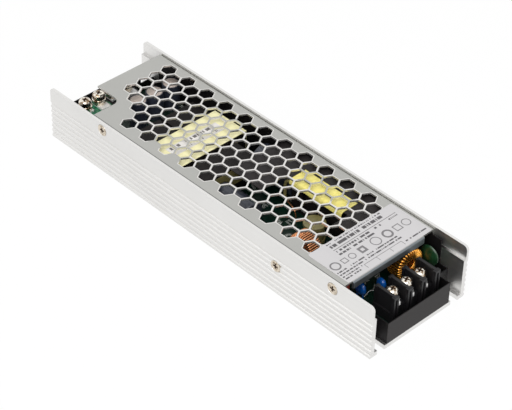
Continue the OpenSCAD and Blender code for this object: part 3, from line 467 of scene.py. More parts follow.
class Value:
    """Socket that takes part in Python arithmetic, each step adding a Math node."""

    def __init__(self, paint: "Paint", socket: Socket) -> None:
        """Wraps a socket of a material's node tree."""
        self.paint = paint
        self.socket = socket

    def math(self, operation: str, *values: Any) -> "Value":
        """Adds a Math node.

        Args:
            operation: its operation.
            values: its inputs, numbers or sockets.

        Returns:
            The node's result.
        """
        return self.paint.value("ShaderNodeMath", dict(enumerate(values)), operation=operation)

    def __add__(self, other: Any) -> "Value":
        """Sum."""
        return self.math("ADD", self, other)

    def __sub__(self, other: Any) -> "Value":
        """Difference."""
        return self.math("SUBTRACT", self, other)

    def __rsub__(self, other: Any) -> "Value":
        """Difference from a number."""
        return self.math("SUBTRACT", other, self)

    def __mul__(self, other: Any) -> "Value":
        """Product."""
        return self.math("MULTIPLY", self, other)

    def __truediv__(self, other: Any) -> "Value":
        """Quotient."""
        return self.math("DIVIDE", self, other)

    def __rtruediv__(self, other: Any) -> "Value":
        """Quotient of a number by the value."""
        return self.math("DIVIDE", other, self)

    def __gt__(self, other: Any) -> "Value":
        """One where the value is larger, else zero."""
        return self.math("GREATER_THAN", self, other)

    def __lt__(self, other: Any) -> "Value":
        """One where the value is smaller, else zero."""
        return self.math("LESS_THAN", self, other)

    def __abs__(self) -> "Value":
        """Distance from zero."""
        return self.math("ABSOLUTE", self)

    __radd__ = __add__
    __rmul__ = __mul__

    def between(self, low: float, high: float) -> "Value":
        """One between two limits, else zero."""
        return (self > low) * (self < high)

    def either(self, other: Any) -> "Value":
        """The larger of two values."""
        return self.math("MAXIMUM", self, other)

    def floor(self) -> "Value":
        """Whole number below the value."""
        return self.math("FLOOR", self)

    def ramp(self, low: float, high: float) -> "Value":
        """Smooth step from zero at one limit to one at the other."""
        inputs = {"Value": self, "From Min": low, "From Max": high, "To Min": 0.0, "To Max": 1.0}
        return self.paint.value("ShaderNodeMapRange", inputs, interpolation_type="SMOOTHSTEP")

    def around(self, middle: float, spread: float) -> "Value":
        """Noise of zero to one laid around a middle value, over a spread."""
        return (self - 0.5) * spread + middle


class Paint:
    """Node tree of one material or of the world, with the few texture tools that the finishes share."""

    def __init__(self, name: str, world: bool = False) -> None:
        """Starts an empty material, or an empty world.

        Args:
            name: its name.
            world: makes a world in place of a material.
        """
        self.material = bpy.data.worlds.new(name) if world else bpy.data.materials.new(name)
        self.material.use_nodes = True
        self.tree = self.material.node_tree
        self.tree.nodes.clear()
        self.output = self.node("ShaderNodeOutputWorld" if world else "ShaderNodeOutputMaterial")
        self.shader = self.node("ShaderNodeBackground" if world else "ShaderNodeBsdfPrincipled")
        self.glow = "ShaderNodeBackground" if world else "ShaderNodeEmission"
        self.tree.links.new(self.shader.outputs[0], self.output.inputs["Surface"])
        self.place = self.node("ShaderNodeTexCoord").outputs["Object"]

    def node(self, kind: str, inputs: Mapping[Any, Any] | None = None, **settings: Any) -> bpy.types.Node:
        """Adds a node.

        Args:
            kind: type of the node.
            inputs: values or links of its sockets, by name or number.
            settings: its properties, set first.

        Returns:
            The node.
        """
        node = self.tree.nodes.new(kind)
        for key, value in settings.items():
            setattr(node, key, value)
        for key, value in (inputs or {}).items():
            self.feed(node.inputs[key], value)
        return node

    def value(self, kind: str, inputs: Mapping[Any, Any], **settings: Any) -> Value:
        """Adds a node and wraps its first result."""
        return Value(self, self.node(kind, inputs, **settings).outputs[0])

    def feed(self, socket: Socket, value: Any) -> None:
        """Links a socket to another one, or sets its number or colour.

        Args:
            socket: the socket that is fed.
            value: what it takes.
        """
        if isinstance(value, Value):
            value = value.socket
        if isinstance(value, Socket):
            self.tree.links.new(value, socket)
        elif isinstance(value, tuple) and len(value) == 3 and socket.type == "RGBA":
            socket.default_value = (*value, 1.0)
        else:
            socket.default_value = value

    def axes(self) -> tuple[Value, Value, Value]:
        """Object coordinates in millimetres, as three values."""
        split = self.node("ShaderNodeSeparateXYZ", {0: self.place})
        return tuple(Value(self, socket) * (1 / MM) for socket in split.outputs)

    def stretched(self, scale: Point) -> Socket:
        """Object coordinates scaled by its own factor on each axis."""
        return self.node("ShaderNodeMapping", {"Vector": self.place, "Scale": scale}).outputs[0]

    def noise(self, size: float, detail: float = 3.0, stretch: Point = (1, 1, 1)) -> Value:
        """Soft noise.

        Args:
            size: size of its patches in millimetres.
            detail: number of finer layers.
            stretch: scale of the pattern on each axis.

        Returns:
            Its value, around one half.
        """
        inputs = {"Vector": self.stretched(stretch), "Scale": 1 / (size * MM), "Detail": detail}
        return self.value("ShaderNodeTexNoise", inputs)

    def cells(self, size: float, stretch: Point) -> Value:
        """Distance to the edges of a cell pattern of a size in millimetres."""
        inputs = {"Vector": self.stretched(stretch), "Scale": 1 / (size * MM)}
        return self.value("ShaderNodeTexVoronoi", inputs, feature="DISTANCE_TO_EDGE")

    def chance(self, first: Value, second: Value) -> Value:
        """Random value for each pair of whole numbers."""
        pair = self.node("ShaderNodeCombineXYZ", {0: first, 1: second})
        return self.value("ShaderNodeTexWhiteNoise", {"Vector": pair.outputs[0]}, noise_dimensions="2D")

    def blend(self, share: Any, first: Any, second: Any) -> Socket:
        """Mixes two colours by a share from zero to one."""
        node = self.node(
            "ShaderNodeMix", {0: share, 6: first, 7: second}, data_type="RGBA", clamp_factor=True)
        return node.outputs[2]

    def tones(self, share: Value, colour: Colour, first: float, second: float) -> Socket:
        """Mixes two tones of a colour, each a factor of it, by a share."""
        return self.blend(share, shaded(colour, first), shaded(colour, second))

    def bump(self, height: Value, depth: float) -> Socket:
        """Normal roughened by a height of so many millimetres."""
        node = self.node("ShaderNodeBump", {"Height": height, "Distance": depth * MM, "Strength": 1.0})
        return node.outputs[0]

    def surface(self, **sockets: Any) -> Material:
        """Sets the shader's sockets, with underscores for spaces in their names.

        Returns:
            The finished material.
        """
        for key, value in sockets.items():
            self.feed(self.shader.inputs[key.replace("_", " ")], value)
        return self.material


@dataclass(frozen=True)
class Finish:
    """A finish: its name and its main colour. Each kind below paints it in its own way.

    TONES holds the two factors of the colour that its tone goes between.
    """

    TONES: ClassVar[tuple[float, float]] = (0.93, 1.06)
    name: str
    colour: Colour

    def material(self) -> Material:
        """Paints the finish as a new material."""
        return self.paint(Paint(self.name))

    def skin(self, paint: Paint, tone: Value) -> Socket:
        """Colour of the finish, between its two tones."""
        return paint.tones(tone, self.colour, *self.TONES)

    def paint(self, paint: Paint) -> Material:
        """Fills the node tree; each kind of finish has its own way."""
        raise NotImplementedError


@dataclass(frozen=True)
class BrushedMetal(Finish):
    """Rolled, extruded or plated metal with fine lines along one direction."""

    metallic: float = 0.9
    roughness: float = 0.4
    lines: Point = (0.04, 1, 1)
    line_size: float = 0.5
    grain: float = 0.012

    def paint(self, paint: Paint) -> Material:
        """Lines in tone and roughness, a fine grain in the normal.

        Args:
            paint: the node tree.

        Returns:
            The material.
        """
        lines = paint.noise(self.line_size, detail=4, stretch=self.lines)
        cloud = paint.noise(size=22, detail=2)
        speck = paint.noise(size=0.35, detail=2)
        tone = (lines - 0.5) * 0.5 + (cloud - 0.5) * 0.5 + 0.5
        return paint.surface(
            Base_Color=self.skin(paint, tone),
            Metallic=self.metallic,
            Roughness=lines.around(self.roughness, spread=0.16) + (speck - 0.5) * 0.1,
            Normal=paint.bump(speck, self.grain))


@dataclass(frozen=True)
class ChannelMetal(BrushedMetal):
    """Extruded channel with painted shade on its inner ledges, darker towards the dark inside."""

    # Painted shade on the ledges: ledge is their colour near the open ends, shade their colour further in.
    ledge: Colour = linear(212, 211, 210)
    shade: Colour = linear(58, 58, 58)
    node: str = "chassis"
    height: float = 19.6
    rim: float = 26.25
    reach: tuple[float, float] = (11.0, 4.0)

    def skin(self, paint: Paint, tone: Value) -> Socket:
        """Colour of the channel, with painted shade on the flat of its ledges.

        Args:
            paint: the node tree.
            tone: light and dark of the metal.

        Returns:
            The colour.
        """
        end = node_box(self.node)[1].x
        x, y, z = paint.axes()
        flat = z.between(self.height - SLACK, self.height + SLACK) * (abs(y) < self.rim)
        far, near = self.reach
        # Painted shade on the ledges, darker towards the inside.
        ledge_shade = paint.blend(abs(x).ramp(end - far, end - near), self.shade, self.ledge)
        return paint.blend(flat, super().skin(paint, tone), ledge_shade)


@dataclass(frozen=True)
class PunchedSheet(BrushedMetal):
    """Honeycomb sheet: painted highlight on the bare walls and the rims of its holes, painted shade on its
    near fold and its lip.
    """

    RIM_TONES: ClassVar[tuple[float, float]] = (0.95, 1.04)
    PAST_CORNER: ClassVar[float] = 0.999
    # Painted highlight on the bare walls of the holes.
    cut: Colour = linear(235, 233, 230)
    # Painted highlight round the holes.
    rim: Colour = linear(228, 226, 223)
    # Painted shade on the lip.
    lip: Colour = linear(128, 134, 138)
    lip_depth: float = 0.6
    # Painted shade on the near fold.
    fold: Colour = linear(118, 118, 116)
    fold_depth: float = 1.0
    node: str = "top_cover"
    sheet: float = 0.8
    crust: float = 0.03
    skirt: float = 1.0
    first: tuple[float, float] = (-73.4, 20.725)
    step: float = 6.0918
    pitch: float = 7.1
    columns: int = 22
    rows: int = 6
    corner: tuple[float, float] = (-70.0, -10.6)
    keep: tuple[float, float] = (10.0, 5.0)
    # Tapes over which the rims get no painted highlight.
    pale: tuple[str, ...] = ("transformer_tape", "flap_tape")

    def cells(self, x: Value, y: Value) -> Value:
        """Marks the honeycomb cells that hold a hole, and leaves out the plain corner.

        Args:
            x: place along the sheet.
            y: place across it.

        Returns:
            One in such a cell, else zero.
        """
        marked = x * 0.0
        for shift in (0.0, 0.5):
            column = ((x - self.first[0]) / (2 * self.step) - shift + 0.5).floor() * 2 + 2 * shift
            row = ((self.first[1] - y) / self.pitch - shift + 0.5).floor()
            middle_x = column * self.step + self.first[0]
            middle_y = self.first[1] - (row + shift) * self.pitch
            side, rise = abs(x - middle_x), abs(y - middle_y)
            near = rise.either(side * COS_30 + rise * 0.5) < self.pitch / 2
            held = column.between(-0.5, self.columns - 0.5) * row.between(-0.5, self.rows - 0.5)
            past_x = ((middle_x - self.corner[0]) / self.keep[0]).either(0.0)
            past_y = ((middle_y - self.corner[1]) / self.keep[1]).either(0.0)
            marked = marked.either(near * held * (past_x + past_y > self.PAST_CORNER))
        return marked

    def skin(self, paint: Paint, tone: Value) -> Socket:
        """Colour of the sheet: painted highlight on the rims except over the pale tapes, painted shade on the
        near fold and the lip, painted highlight on the hole walls.

        Args:
            paint: the node tree.
            tone: light and dark of the rolled metal.

        Returns:
            The colour.
        """
        low, high = node_box(self.node)
        x, y, z = paint.axes()
        rims = self.cells(x, y)
        for node in self.pale:
            start, stop = node_box(node)
            rims = rims * (1 - x.between(start.x, stop.x) * y.between(start.y, stop.y))
        # Painted highlight round the holes, left off over the pale tapes.
        bright = paint.tones(tone, self.rim, *self.RIM_TONES)
        colour = paint.blend(rims, super().skin(paint, tone), bright)
        # Painted shade on the near fold and on the lip.
        colour = paint.blend(y < low.y + self.fold_depth, colour, self.fold)
        colour = paint.blend(x > high.x - self.lip_depth, colour, self.lip)
        # Painted highlight on the bare walls of the holes.
        inside = x.between(low.x + self.skirt, high.x - self.skirt)
        inside = inside * y.between(low.y + self.skirt, high.y - self.skirt)
        wall = z.between(high.z - (1 - self.crust) * self.sheet, high.z - self.crust * self.sheet)
        return paint.blend(inside * wall, colour, self.cut)


@dataclass(frozen=True)
class PlatedScrew(Finish):
    """Nickel-plated screw with brown mottling: stains and painted reflection of dark surroundings."""

    roughness: float = 0.14
    # Brown mottling: stains and painted reflection of dark surroundings.
    stain_and_reflection: Colour = linear(140, 122, 100)
    stain_and_reflection_ramp: tuple[float, float] = (0.4, 0.75)

    def paint(self, paint: Paint) -> Material:
        """Bright plating with faint turning marks and brown mottling: stains and painted reflection.

        Args:
            paint: the node tree.

        Returns:
            The material.
        """
        stain_and_reflection = paint.noise(size=1.3, detail=4)
        scratch = paint.noise(size=0.25, detail=2, stretch=(1, 1, 0.3))
        return paint.surface(
            Base_Color=paint.blend(stain_and_reflection.ramp(*self.stain_and_reflection_ramp), self.colour, self.stain_and_reflection),
            Metallic=1.0,
            Roughness=scratch.around(self.roughness, spread=0.2),
            Normal=paint.bump(scratch, depth=0.01))


@dataclass(frozen=True)
class Moulded(Finish):
    """Moulded plastic, film or epoxy with a fine texture."""

    TONES = (0.85, 1.18)
    roughness: float = 0.45
    grain_size: float = 0.3
    grain: float = 0.012
    coat: float = 0.0
    gloss: float = 0.5

    def paint(self, paint: Paint) -> Material:
        """Fine grain, faint cloudy tone and scuffed roughness.

        Args:
            paint: the node tree.

        Returns:
            The material.
        """
        grain = paint.noise(self.grain_size, detail=3)
        cloud = paint.noise(size=9, detail=3)
        return paint.surface(
            Base_Color=self.skin(paint, cloud.ramp(low=0.3, high=0.7)),
            Roughness=cloud.around(self.roughness, spread=0.18),
            Specular_IOR_Level=self.gloss,
            Coat_Weight=self.coat,
            Normal=paint.bump(grain, self.grain))


@dataclass(frozen=True)
class FilmWithPaintedShade(Moulded):
    """Black film with painted shade inside the tray, so that it is paler on the flap and on the tray's end
    walls.
    """

    # Painted shade of the film inside the tray.
    inside: Colour = linear(17, 15, 16)
    film: float = 0.4

    def skin(self, paint: Paint, tone: Value) -> Socket:
        """Colour of the film, with painted shade in the tray under the flap and beside it.

        Args:
            paint: the node tree.
            tone: light and dark of the film.

        Returns:
            The colour.
        """
        tray, flap = node_box("insulation_tray")[1], node_box("insulation_flap")
        x, y, z = paint.axes()
        under = (z < flap[0].z - self.film / 2).either(abs(y) > flap[1].y)
        within = abs(x) < tray.x - self.film / 2
        # Painted shade in the tray, left off its end walls.
        return paint.blend(under * within, super().skin(paint, tone), self.inside)


@dataclass(frozen=True)
class Resin(Finish):
    """Dipped resin coat: glossy, with a slight orange peel."""

    TONES = (0.75, 1.2)

    def paint(self, paint: Paint) -> Material:
        """Wavy gloss over a colour that pools unevenly.

        Args:
            paint: the node tree.

        Returns:
            The material.
        """
        peel = paint.noise(size=0.9, detail=2)
        pool = paint.noise(size=3.5, detail=2)
        return paint.surface(
            Base_Color=self.skin(paint, pool.ramp(low=0.35, high=0.65)),
            Roughness=peel.around(0.3, spread=0.1),
            Coat_Weight=0.5,
            Normal=paint.bump(peel, depth=0.04))


@dataclass(frozen=True)
class Tape(Finish):
    """Thin polyester tape, with creases and a shadow of what lies under it."""

    under: Colour = (0.3, 0.28, 0.1)

    def paint(self, paint: Paint) -> Material:
        """Colour thinned along creases, glossy and slightly wrinkled.

        Args:
            paint: the node tree.

        Returns:
            The material.
        """
        crease = paint.cells(size=7, stretch=(1, 0.6, 1))
        wrinkle = paint.noise(size=2.4, detail=3, stretch=(1, 0.5, 1))
        thin = 1 - crease.ramp(low=0.0, high=0.12)
        return paint.surface(
            Base_Color=paint.blend(thin * 0.18 + (wrinkle - 0.45) * 0.2, self.colour, self.under),
            Roughness=wrinkle.around(0.34, spread=0.2),
            Coat_Weight=0.25,
            Normal=paint.bump(wrinkle, depth=0.08))


@dataclass(frozen=True)
class EnamelledWire(Finish):
    """Enamelled winding wire: metal under a clear coloured coat."""

    TONES = (1.0, 0.6)

    def paint(self, paint: Paint) -> Material:
        """Metal with a coat that is darker here and there.

        Args:
            paint: the node tree.

        Returns:
            The material.
        """
        smear = paint.noise(size=1.6, detail=3)
        return paint.surface(
            Base_Color=self.skin(paint, smear.ramp(low=0.35, high=0.7)),
            Metallic=0.92,
            Roughness=smear.around(0.2, spread=0.12),
            Coat_Weight=0.3)


@dataclass(frozen=True)
class SolderMask(Finish):
    """Printed board: mask over copper tracks, with white component outlines."""

    TONES = (0.6, 1.0)
    FLAT: ClassVar[Point] = (1, 1, 0)
    printed: float = 0.2
    coat: float = 0.1
    ink: Colour = (0.75, 0.77, 0.72)
    patch: float = 3.0

    def paint(self, paint: Paint) -> Material:
        """Tracks as lighter bands, outlines as thin white lines, glossy mask.

        Args:
            paint: the node tree.

        Returns:
            The material.
        """
        x, y, _ = paint.axes()
        track = paint.cells(size=3.2, stretch=self.FLAT).ramp(low=0.06, high=0.11)
        outline = paint.cells(size=4.2, stretch=self.FLAT).between(low=0.03, high=0.075)
        used = paint.chance((x / self.patch).floor(), (y / self.patch).floor()) < self.printed
        return paint.surface(
            Base_Color=paint.blend(outline * used * 0.8, self.skin(paint, track), self.ink),
            Roughness=0.4 - track * 0.06,
            Coat_Weight=self.coat,
            Normal=paint.bump(track, depth=0.03))


@dataclass(frozen=True)
class PrintedRow:
    """One row of plain printed bars, measured from the paper's low corner in X and Y."""

    offset: float
    height: float
    start: float
    stop: float
    bar: float = 0.4
    fill: float = 0.68


@dataclass(frozen=True)
class PlainMark:
    """One plain ring or frame on the label: its middle, half its size and its line width."""

    middle: float
    size: float
    line: float
    ring: bool = True


@dataclass(frozen=True)
class PrintedPaper(Finish):
    """Paper with rows of plain bars in place of print."""

    ink: Colour = (0.035, 0.03, 0.035)
    rows: tuple[PrintedRow, ...] = ()

    def rows_of_bars(self, paint: Paint, along: Value, across: Value) -> Value:
        """Bars of uneven spacing in place of print.

        Args:
            paint: the node tree.
            along: distance from the paper's low edge in X.
            across: distance from its near edge.

        Returns:
            One on the bars, else zero.
        """
        ink = along * 0.0
        for number, row in enumerate(self.rows):
            shown = paint.chance((across / row.bar).floor(), along * 0.0 + number) < row.fill
            band = along.between(row.offset, row.offset + row.height) * across.between(row.start, row.stop)
            ink = ink.either(band * shown)
        return ink


@dataclass(frozen=True)
class LabelPaper(PrintedPaper):
    """Silver-white sticker with ruled lines, plain bars and plain marks, and no words on it."""

    TONES = (0.95, 1.05)
    rows: tuple[PrintedRow, ...] = (
        PrintedRow(0.8, 0.7, 9.3, 39.8, 0.4, 0.6),
        PrintedRow(2.3, 1.6, 9.3, 39.8, 0.48, 0.58),
        PrintedRow(5.0, 0.25, 9.3, 44.8, 60.0, 1.0),
        PrintedRow(6.0, 1.0, 9.3, 28.4, 0.42, 0.62),
        PrintedRow(6.0, 1.0, 31.2, 34.8, 0.42, 0.62),
        PrintedRow(6.1, 0.8, 39.5, 44.5),
        PrintedRow(7.9, 1.0, 9.3, 29.5, 0.42, 0.62),
        PrintedRow(15.5, 0.7, 0.6, 34.5),
        PrintedRow(17.0, 0.7, 0.6, 35.3),
        PrintedRow(18.5, 0.7, 0.6, 11.4),
        PrintedRow(19.9, 0.7, 0.6, 9.3),
        PrintedRow(19.9, 0.7, 34.6, 46.6),
    )
    marks: tuple[PlainMark, ...] = (
        PlainMark(3.2, 2.4, 0.7), PlainMark(8.3, 1.4, 0.4, False), PlainMark(12.6, 1.7, 0.4),
        PlainMark(18.4, 1.8, 1.0, False), PlainMark(26.0, 2.5, 0.45), PlainMark(32.8, 2.5, 0.9),
        PlainMark(38.6, 1.8, 0.45, False), PlainMark(43.6, 2.1, 0.4))
    mark_line: float = 12.2
    table: tuple[float, ...] = (12.1, 18.9, 26.5, 33.2)
    table_rows: tuple[float, float] = (18.9, 21.4)
    rule: float = 0.25

    def outlines(self, along: Value, across: Value) -> Value:
        """Plain rings and frames, and the ruled table beside the terminals.

        Args:
            along: distance from the label's inner edge.
            across: distance from its near edge.

        Returns:
            One on the lines, else zero.
        """
        top, bottom = self.table_rows
        ink = along.between(top, top + self.rule) * across.between(self.table[0], self.table[-1])
        for place in self.table:
            ink = ink.either(across.between(place, place + self.rule) * along.between(top, bottom))
        for mark in self.marks:
            side, rise = abs(across - mark.middle), abs(along - self.mark_line)
            inner = mark.size - mark.line
            if mark.ring:
                ink = ink.either((side * side + rise * rise).between(inner ** 2, mark.size ** 2))
            else:
                ink = ink.either(side.either(rise).between(inner, mark.size))
        return ink

    def paint(self, paint: Paint) -> Material:
        """Paper grain under the printed bars and lines.

        Args:
            paint: the node tree.

        Returns:
            The material.
        """
        low, _ = node_box("rating_label")
        x, y, _ = paint.axes()
        along, across = x - low.x, y - low.y
        ink = self.rows_of_bars(paint, along, across).either(self.outlines(along, across) * 0.8)
        fibre = paint.noise(size=0.5, detail=3)
        foil = paint.noise(size=16, detail=2)
        return paint.surface(
            Base_Color=paint.blend(ink * 0.9, self.skin(paint, foil), self.ink),
            Metallic=0.15,
            Roughness=fibre.around(0.38, spread=0.12),
            Normal=paint.bump(fibre, depth=0.006))


@dataclass(frozen=True)
class PaperSlip(PrintedPaper):
    """White paper slip with two rows of short stamped bars."""

    TONES = (0.93, 1.0)
    rows: tuple[PrintedRow, ...] = (
        PrintedRow(0.7, 1.7, 1.4, 3.2, 0.5, 0.8),
        PrintedRow(0.7, 1.7, 5.2, 6.7, 0.45, 0.7),
        PrintedRow(0.7, 1.7, 9.9, 11.3, 0.45, 0.8),
        PrintedRow(0.7, 1.6, 12.7, 16.4, 0.45, 0.5),
        PrintedRow(0.7, 1.7, 16.7, 18.0, 0.45, 0.8),
        PrintedRow(0.7, 1.6, 18.4, 20.6, 0.45, 0.5),
        PrintedRow(0.7, 1.6, 21.7, 23.9, 0.45, 0.5),
        PrintedRow(4.1, 1.2, 9.3, 10.6, 0.45, 0.6),
        PrintedRow(4.1, 1.2, 16.1, 17.4, 0.45, 0.6),
        PrintedRow(4.1, 1.2, 24.1, 25.4, 0.45, 0.6),
    )

    def paint(self, paint: Paint) -> Material:
        """Paper fibre under the bars.

        Args:
            paint: the node tree.

        Returns:
            The material.
        """
        low, _ = node_box("transformer_label")
        x, y, _ = paint.axes()
        ink = self.rows_of_bars(paint, x - low.x, y - low.y)
        fibre = paint.noise(size=0.6, detail=3)
        return paint.surface(
            Base_Color=paint.blend(ink * 0.85, self.skin(paint, fibre), self.ink),
            Roughness=fibre.around(0.6, spread=0.2),
            Normal=paint.bump(fibre, depth=0.01))


# Painted shade in the screws' driver recesses.
RECESS_SHADE = "painted_recess_shade"
# Heavier brown mottling for the terminal screws and washers: painted reflection of dark surroundings.
PAINTED_REFLECTION_PLATING = "painted_reflection_plating"

FINISHES: Mapping[str, Finish] = {
    # Channel with painted shade on the flat of its inner ledges.
    "case_metal": ChannelMetal("extruded_aluminium", linear(230, 229, 227), 1.0, 0.38, (0.03, 1, 1), 0.6),
    # Cover with painted highlight round its holes and painted shade on its fold and lip.
    "cover_steel": PunchedSheet("zinc_sheet", linear(184, 184, 180), 0.95, 0.4, (0.3, 1, 1), 0.8),
    "label_paper": LabelPaper("silver_sticker", linear(205, 203, 204)),
    "screw_nickel": PlatedScrew("nickel_screw", linear(222, 211, 194)),
    # Terminal screws and washers: heavier brown mottling as painted reflection.
    PAINTED_REFLECTION_PLATING: PlatedScrew("painted_reflection_screw", linear(246, 240, 228), 0.2, linear(138, 112, 84), (0.42, 0.6)),
    # Painted shade in the screws' driver recesses.
    RECESS_SHADE: Moulded("painted_recess_shade", linear(66, 46, 32), 0.5, 0.4, 0.02),
    "tinned_metal": BrushedMetal("tinned_contact", linear(243, 242, 240), 0.3, 0.42, (1, 0.2, 1), 0.6),
    # Black film with painted shade inside the tray.
    "film_black": FilmWithPaintedShade("black_film", linear(38, 35, 35), 0.5, 0.5, 0.006, 0.0, 0.25),
    "board_green": SolderMask("solder_mask", linear(24, 124, 86), 0.0),
    "board_dark": SolderMask("dark_solder_mask", linear(3, 38, 27), 0.12, 0.0),
    "block_black": Moulded("block_plastic", linear(20, 19, 21), 0.4, 0.25, 0.012, 0.0, 0.35),
    "tape_yellow": Tape("yellow_tape", linear(243, 231, 133), linear(184, 172, 80)),
    "tape_pale": Tape("pale_tape", linear(249, 243, 192), linear(190, 184, 128)),
    "tape_olive": Tape("olive_tape", linear(128, 120, 76), linear(76, 70, 38)),
    "wire_gold": EnamelledWire("gold_wire", linear(240, 170, 70)),
    "wire_copper": EnamelledWire("copper_wire", linear(248, 172, 120)),
    "ferrite": Moulded("ferrite", linear(21, 18, 18), 0.55, 0.4, 0.03, 0.0, 0.2),
    "core_green": Moulded("core_coat", linear(40, 36, 20), 0.4, 0.5, 0.02, 0.3),
    "varistor_green": Resin("green_resin", linear(22, 56, 31)),
    "disc_blue": Resin("blue_resin", linear(8, 84, 166)),
    "fuse_red": Moulded("fuse_cap", linear(186, 62, 34), 0.4, 0.5, 0.02, 0.2),
    "film_capacitor": Moulded("film_capacitor_case", linear(196, 194, 186), 0.4, 0.4, 0.012, 0.2),
    "sleeve_dark": Moulded("capacitor_sleeve", linear(46, 50, 62), 0.3, 1.2, 0.01, 0.5),
    "can_metal": BrushedMetal("can_top", linear(206, 193, 184), 0.6, 0.42, (1, 1, 1), 0.9),
    "slip_white": PaperSlip("paper_slip", linear(236, 233, 230)),
    "pad_grey": Moulded("silicone_pad", linear(150, 156, 164), 0.6, 0.6, 0.02),
    "chip_black": Moulded("chip_epoxy", linear(34, 34, 36), 0.5, 0.2, 0.01),
}


class Dresser:
    """Gives CAD nodes and new pieces their finish, and puts new pieces on the frame."""

    def __init__(self) -> None:
        """Paints every finish once."""
        self.materials = {slot: finish.material() for slot, finish in FINISHES.items()}

    def dress_nodes(self) -> None:
        """Gives each CAD node the finish of its slot in the record."""
        slots = {entry["node"]: entry["material_slot"] for entry in frame["record"]["subparts"]}
        for name, node in frame["nodes"].items():
            for slot in node.material_slots:
                slot.material = self.materials[slots[name]]
            LOG.info("node %s: %s", name, slots[name])

    def mount(self, piece: Piece, slot: str, replaced: Sequence[str] = ()) -> None:
        """Finishes a new piece and sets it on the frame.

        Args:
            piece: the piece, in place.
            slot: the record's material slot that it takes.
            replaced: CAD nodes that it stands for.
        """
        if not any(piece.data.materials):
            piece.data.materials.clear()
            piece.data.materials.append(self.materials[slot])
        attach(piece, BODY)
        if replaced:
            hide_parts(*replaced)
        LOG.info("piece %s: %s, %d faces", piece.name, slot, len(piece.data.polygons))


@dataclass
class Assembly:
    """Group of pieces that are modelled on the bench and set on the frame by the dresser."""

    bench: Bench
    dresser: Dresser

    def finish(self, piece: Piece, slot: str, replaced: Sequence[str] = (),
               crease: Crease = Crease.ROUND) -> None:
        """Shades a piece smooth and mounts it, with the dresser's slot and replaced nodes."""
        self.bench.smooth(piece, crease)
        self.dresser.mount(piece, slot, replaced)

    def mount_copies(self, name: str, pattern: Piece, places: Iterable[Point], slot: str,
                     replaced: Sequence[str], degrees: float = 0.0) -> None:
        """Copies a pattern to its places and mounts the copies as one piece.

        Args:
            name: name of the piece.
            pattern: what is copied, which is used up.
            places: places of the copies.
            slot: the record's material slot that it takes.
            replaced: CAD nodes that it stands for.
            degrees: turn of each copy about Z.
        """
        copies = self.bench.copies(pattern, places, (0, 0, math.radians(degrees)))
        self.dresser.mount(self.bench.join(name, copies), slot, replaced)


@dataclass
class ScrewMaker:
    """Machine screws with a cross recess, whose span and depth are shares of the head's size."""

    bench: Bench
    dresser: Dresser
    plating: str = "screw_nickel"
    recess_width: float = 1.0
    sides: int = 32
    stem_sides: int = 20
    pan_round: float = 0.62
    pan_recess: tuple[float, float] = (0.66, 0.6)
    flat_edge: float = 0.18
    flat_recess: tuple[float, float] = (0.62, 0.8)

    def assemble(self, body: Piece, stem: Piece, cutters: Sequence[Piece]) -> Piece:
        """Cuts the driver's recess into a head, with painted shade on the cut, and adds the shank.

        Args:
            body: the head.
            stem: the shank, which gets the head's finish.
            cutters: wedges of the recess.

        Returns:
            The screw, named as its head.
        """
        for piece in (body, stem):
            piece.data.materials.append(self.dresser.materials[self.plating])
        # The cut faces of the recess take the painted shade.
        for cutter in cutters:
            cutter.data.materials.append(self.dresser.materials[RECESS_SHADE])
        self.bench.combine(body, cutters, "DIFFERENCE")
        screw = self.bench.join(body.name, [body, stem])
        self.bench.smooth(screw)
        return screw

    def pan(self, name: str, shank: float, head: float, height: float, length: float) -> Piece:
        """Pan-head screw around the origin, with its head standing on z = 0.

        Args:
            name: name of the piece.
            shank: diameter of the shank.
            head: diameter of the head.
            height: height of the head.
            length: length of the shank.

        Returns:
            The screw.
        """
        bench = self.bench
        span, depth = self.pan_recess
        body = bench.rod(name, (0, 0, height / 2), head / 2, height, sides=self.sides)
        bench.round_top(body, height, self.pan_round * height, segments=6)
        stem = bench.rod("stem", (0, 0, -length / 2), shank / 2, length, sides=self.stem_sides)
        cutters = bench.cross_cutter(span * head, self.recess_width, height, depth * height)
        return self.assemble(body, stem, cutters)

    def flat(self, name: str, shank: float, head: float, length: float) -> Piece:
        """Countersunk screw around the origin, with its head's face at z = 0.

        Args:
            name: name of the piece.
            shank: diameter of the shank.
            head: diameter of the head.
            length: length over all.

        Returns:
            The screw.
        """
        bench = self.bench
        span, depth = self.flat_recess
        height = (head - shank) / 2
        body = bench.rod(name, (0, 0, -height / 2), shank / 2, height, sides=self.sides, end_radius=head / 2)
        bench.round_top(body, 0, self.flat_edge, segments=3)
        middle = (0, 0, -(length + height) / 2)
        stem = bench.rod("stem", middle, shank / 2, length - height, sides=self.stem_sides)
        cutters = bench.cross_cutter(span * head, self.recess_width, 0, depth * height)
        return self.assemble(body, stem, cutters)


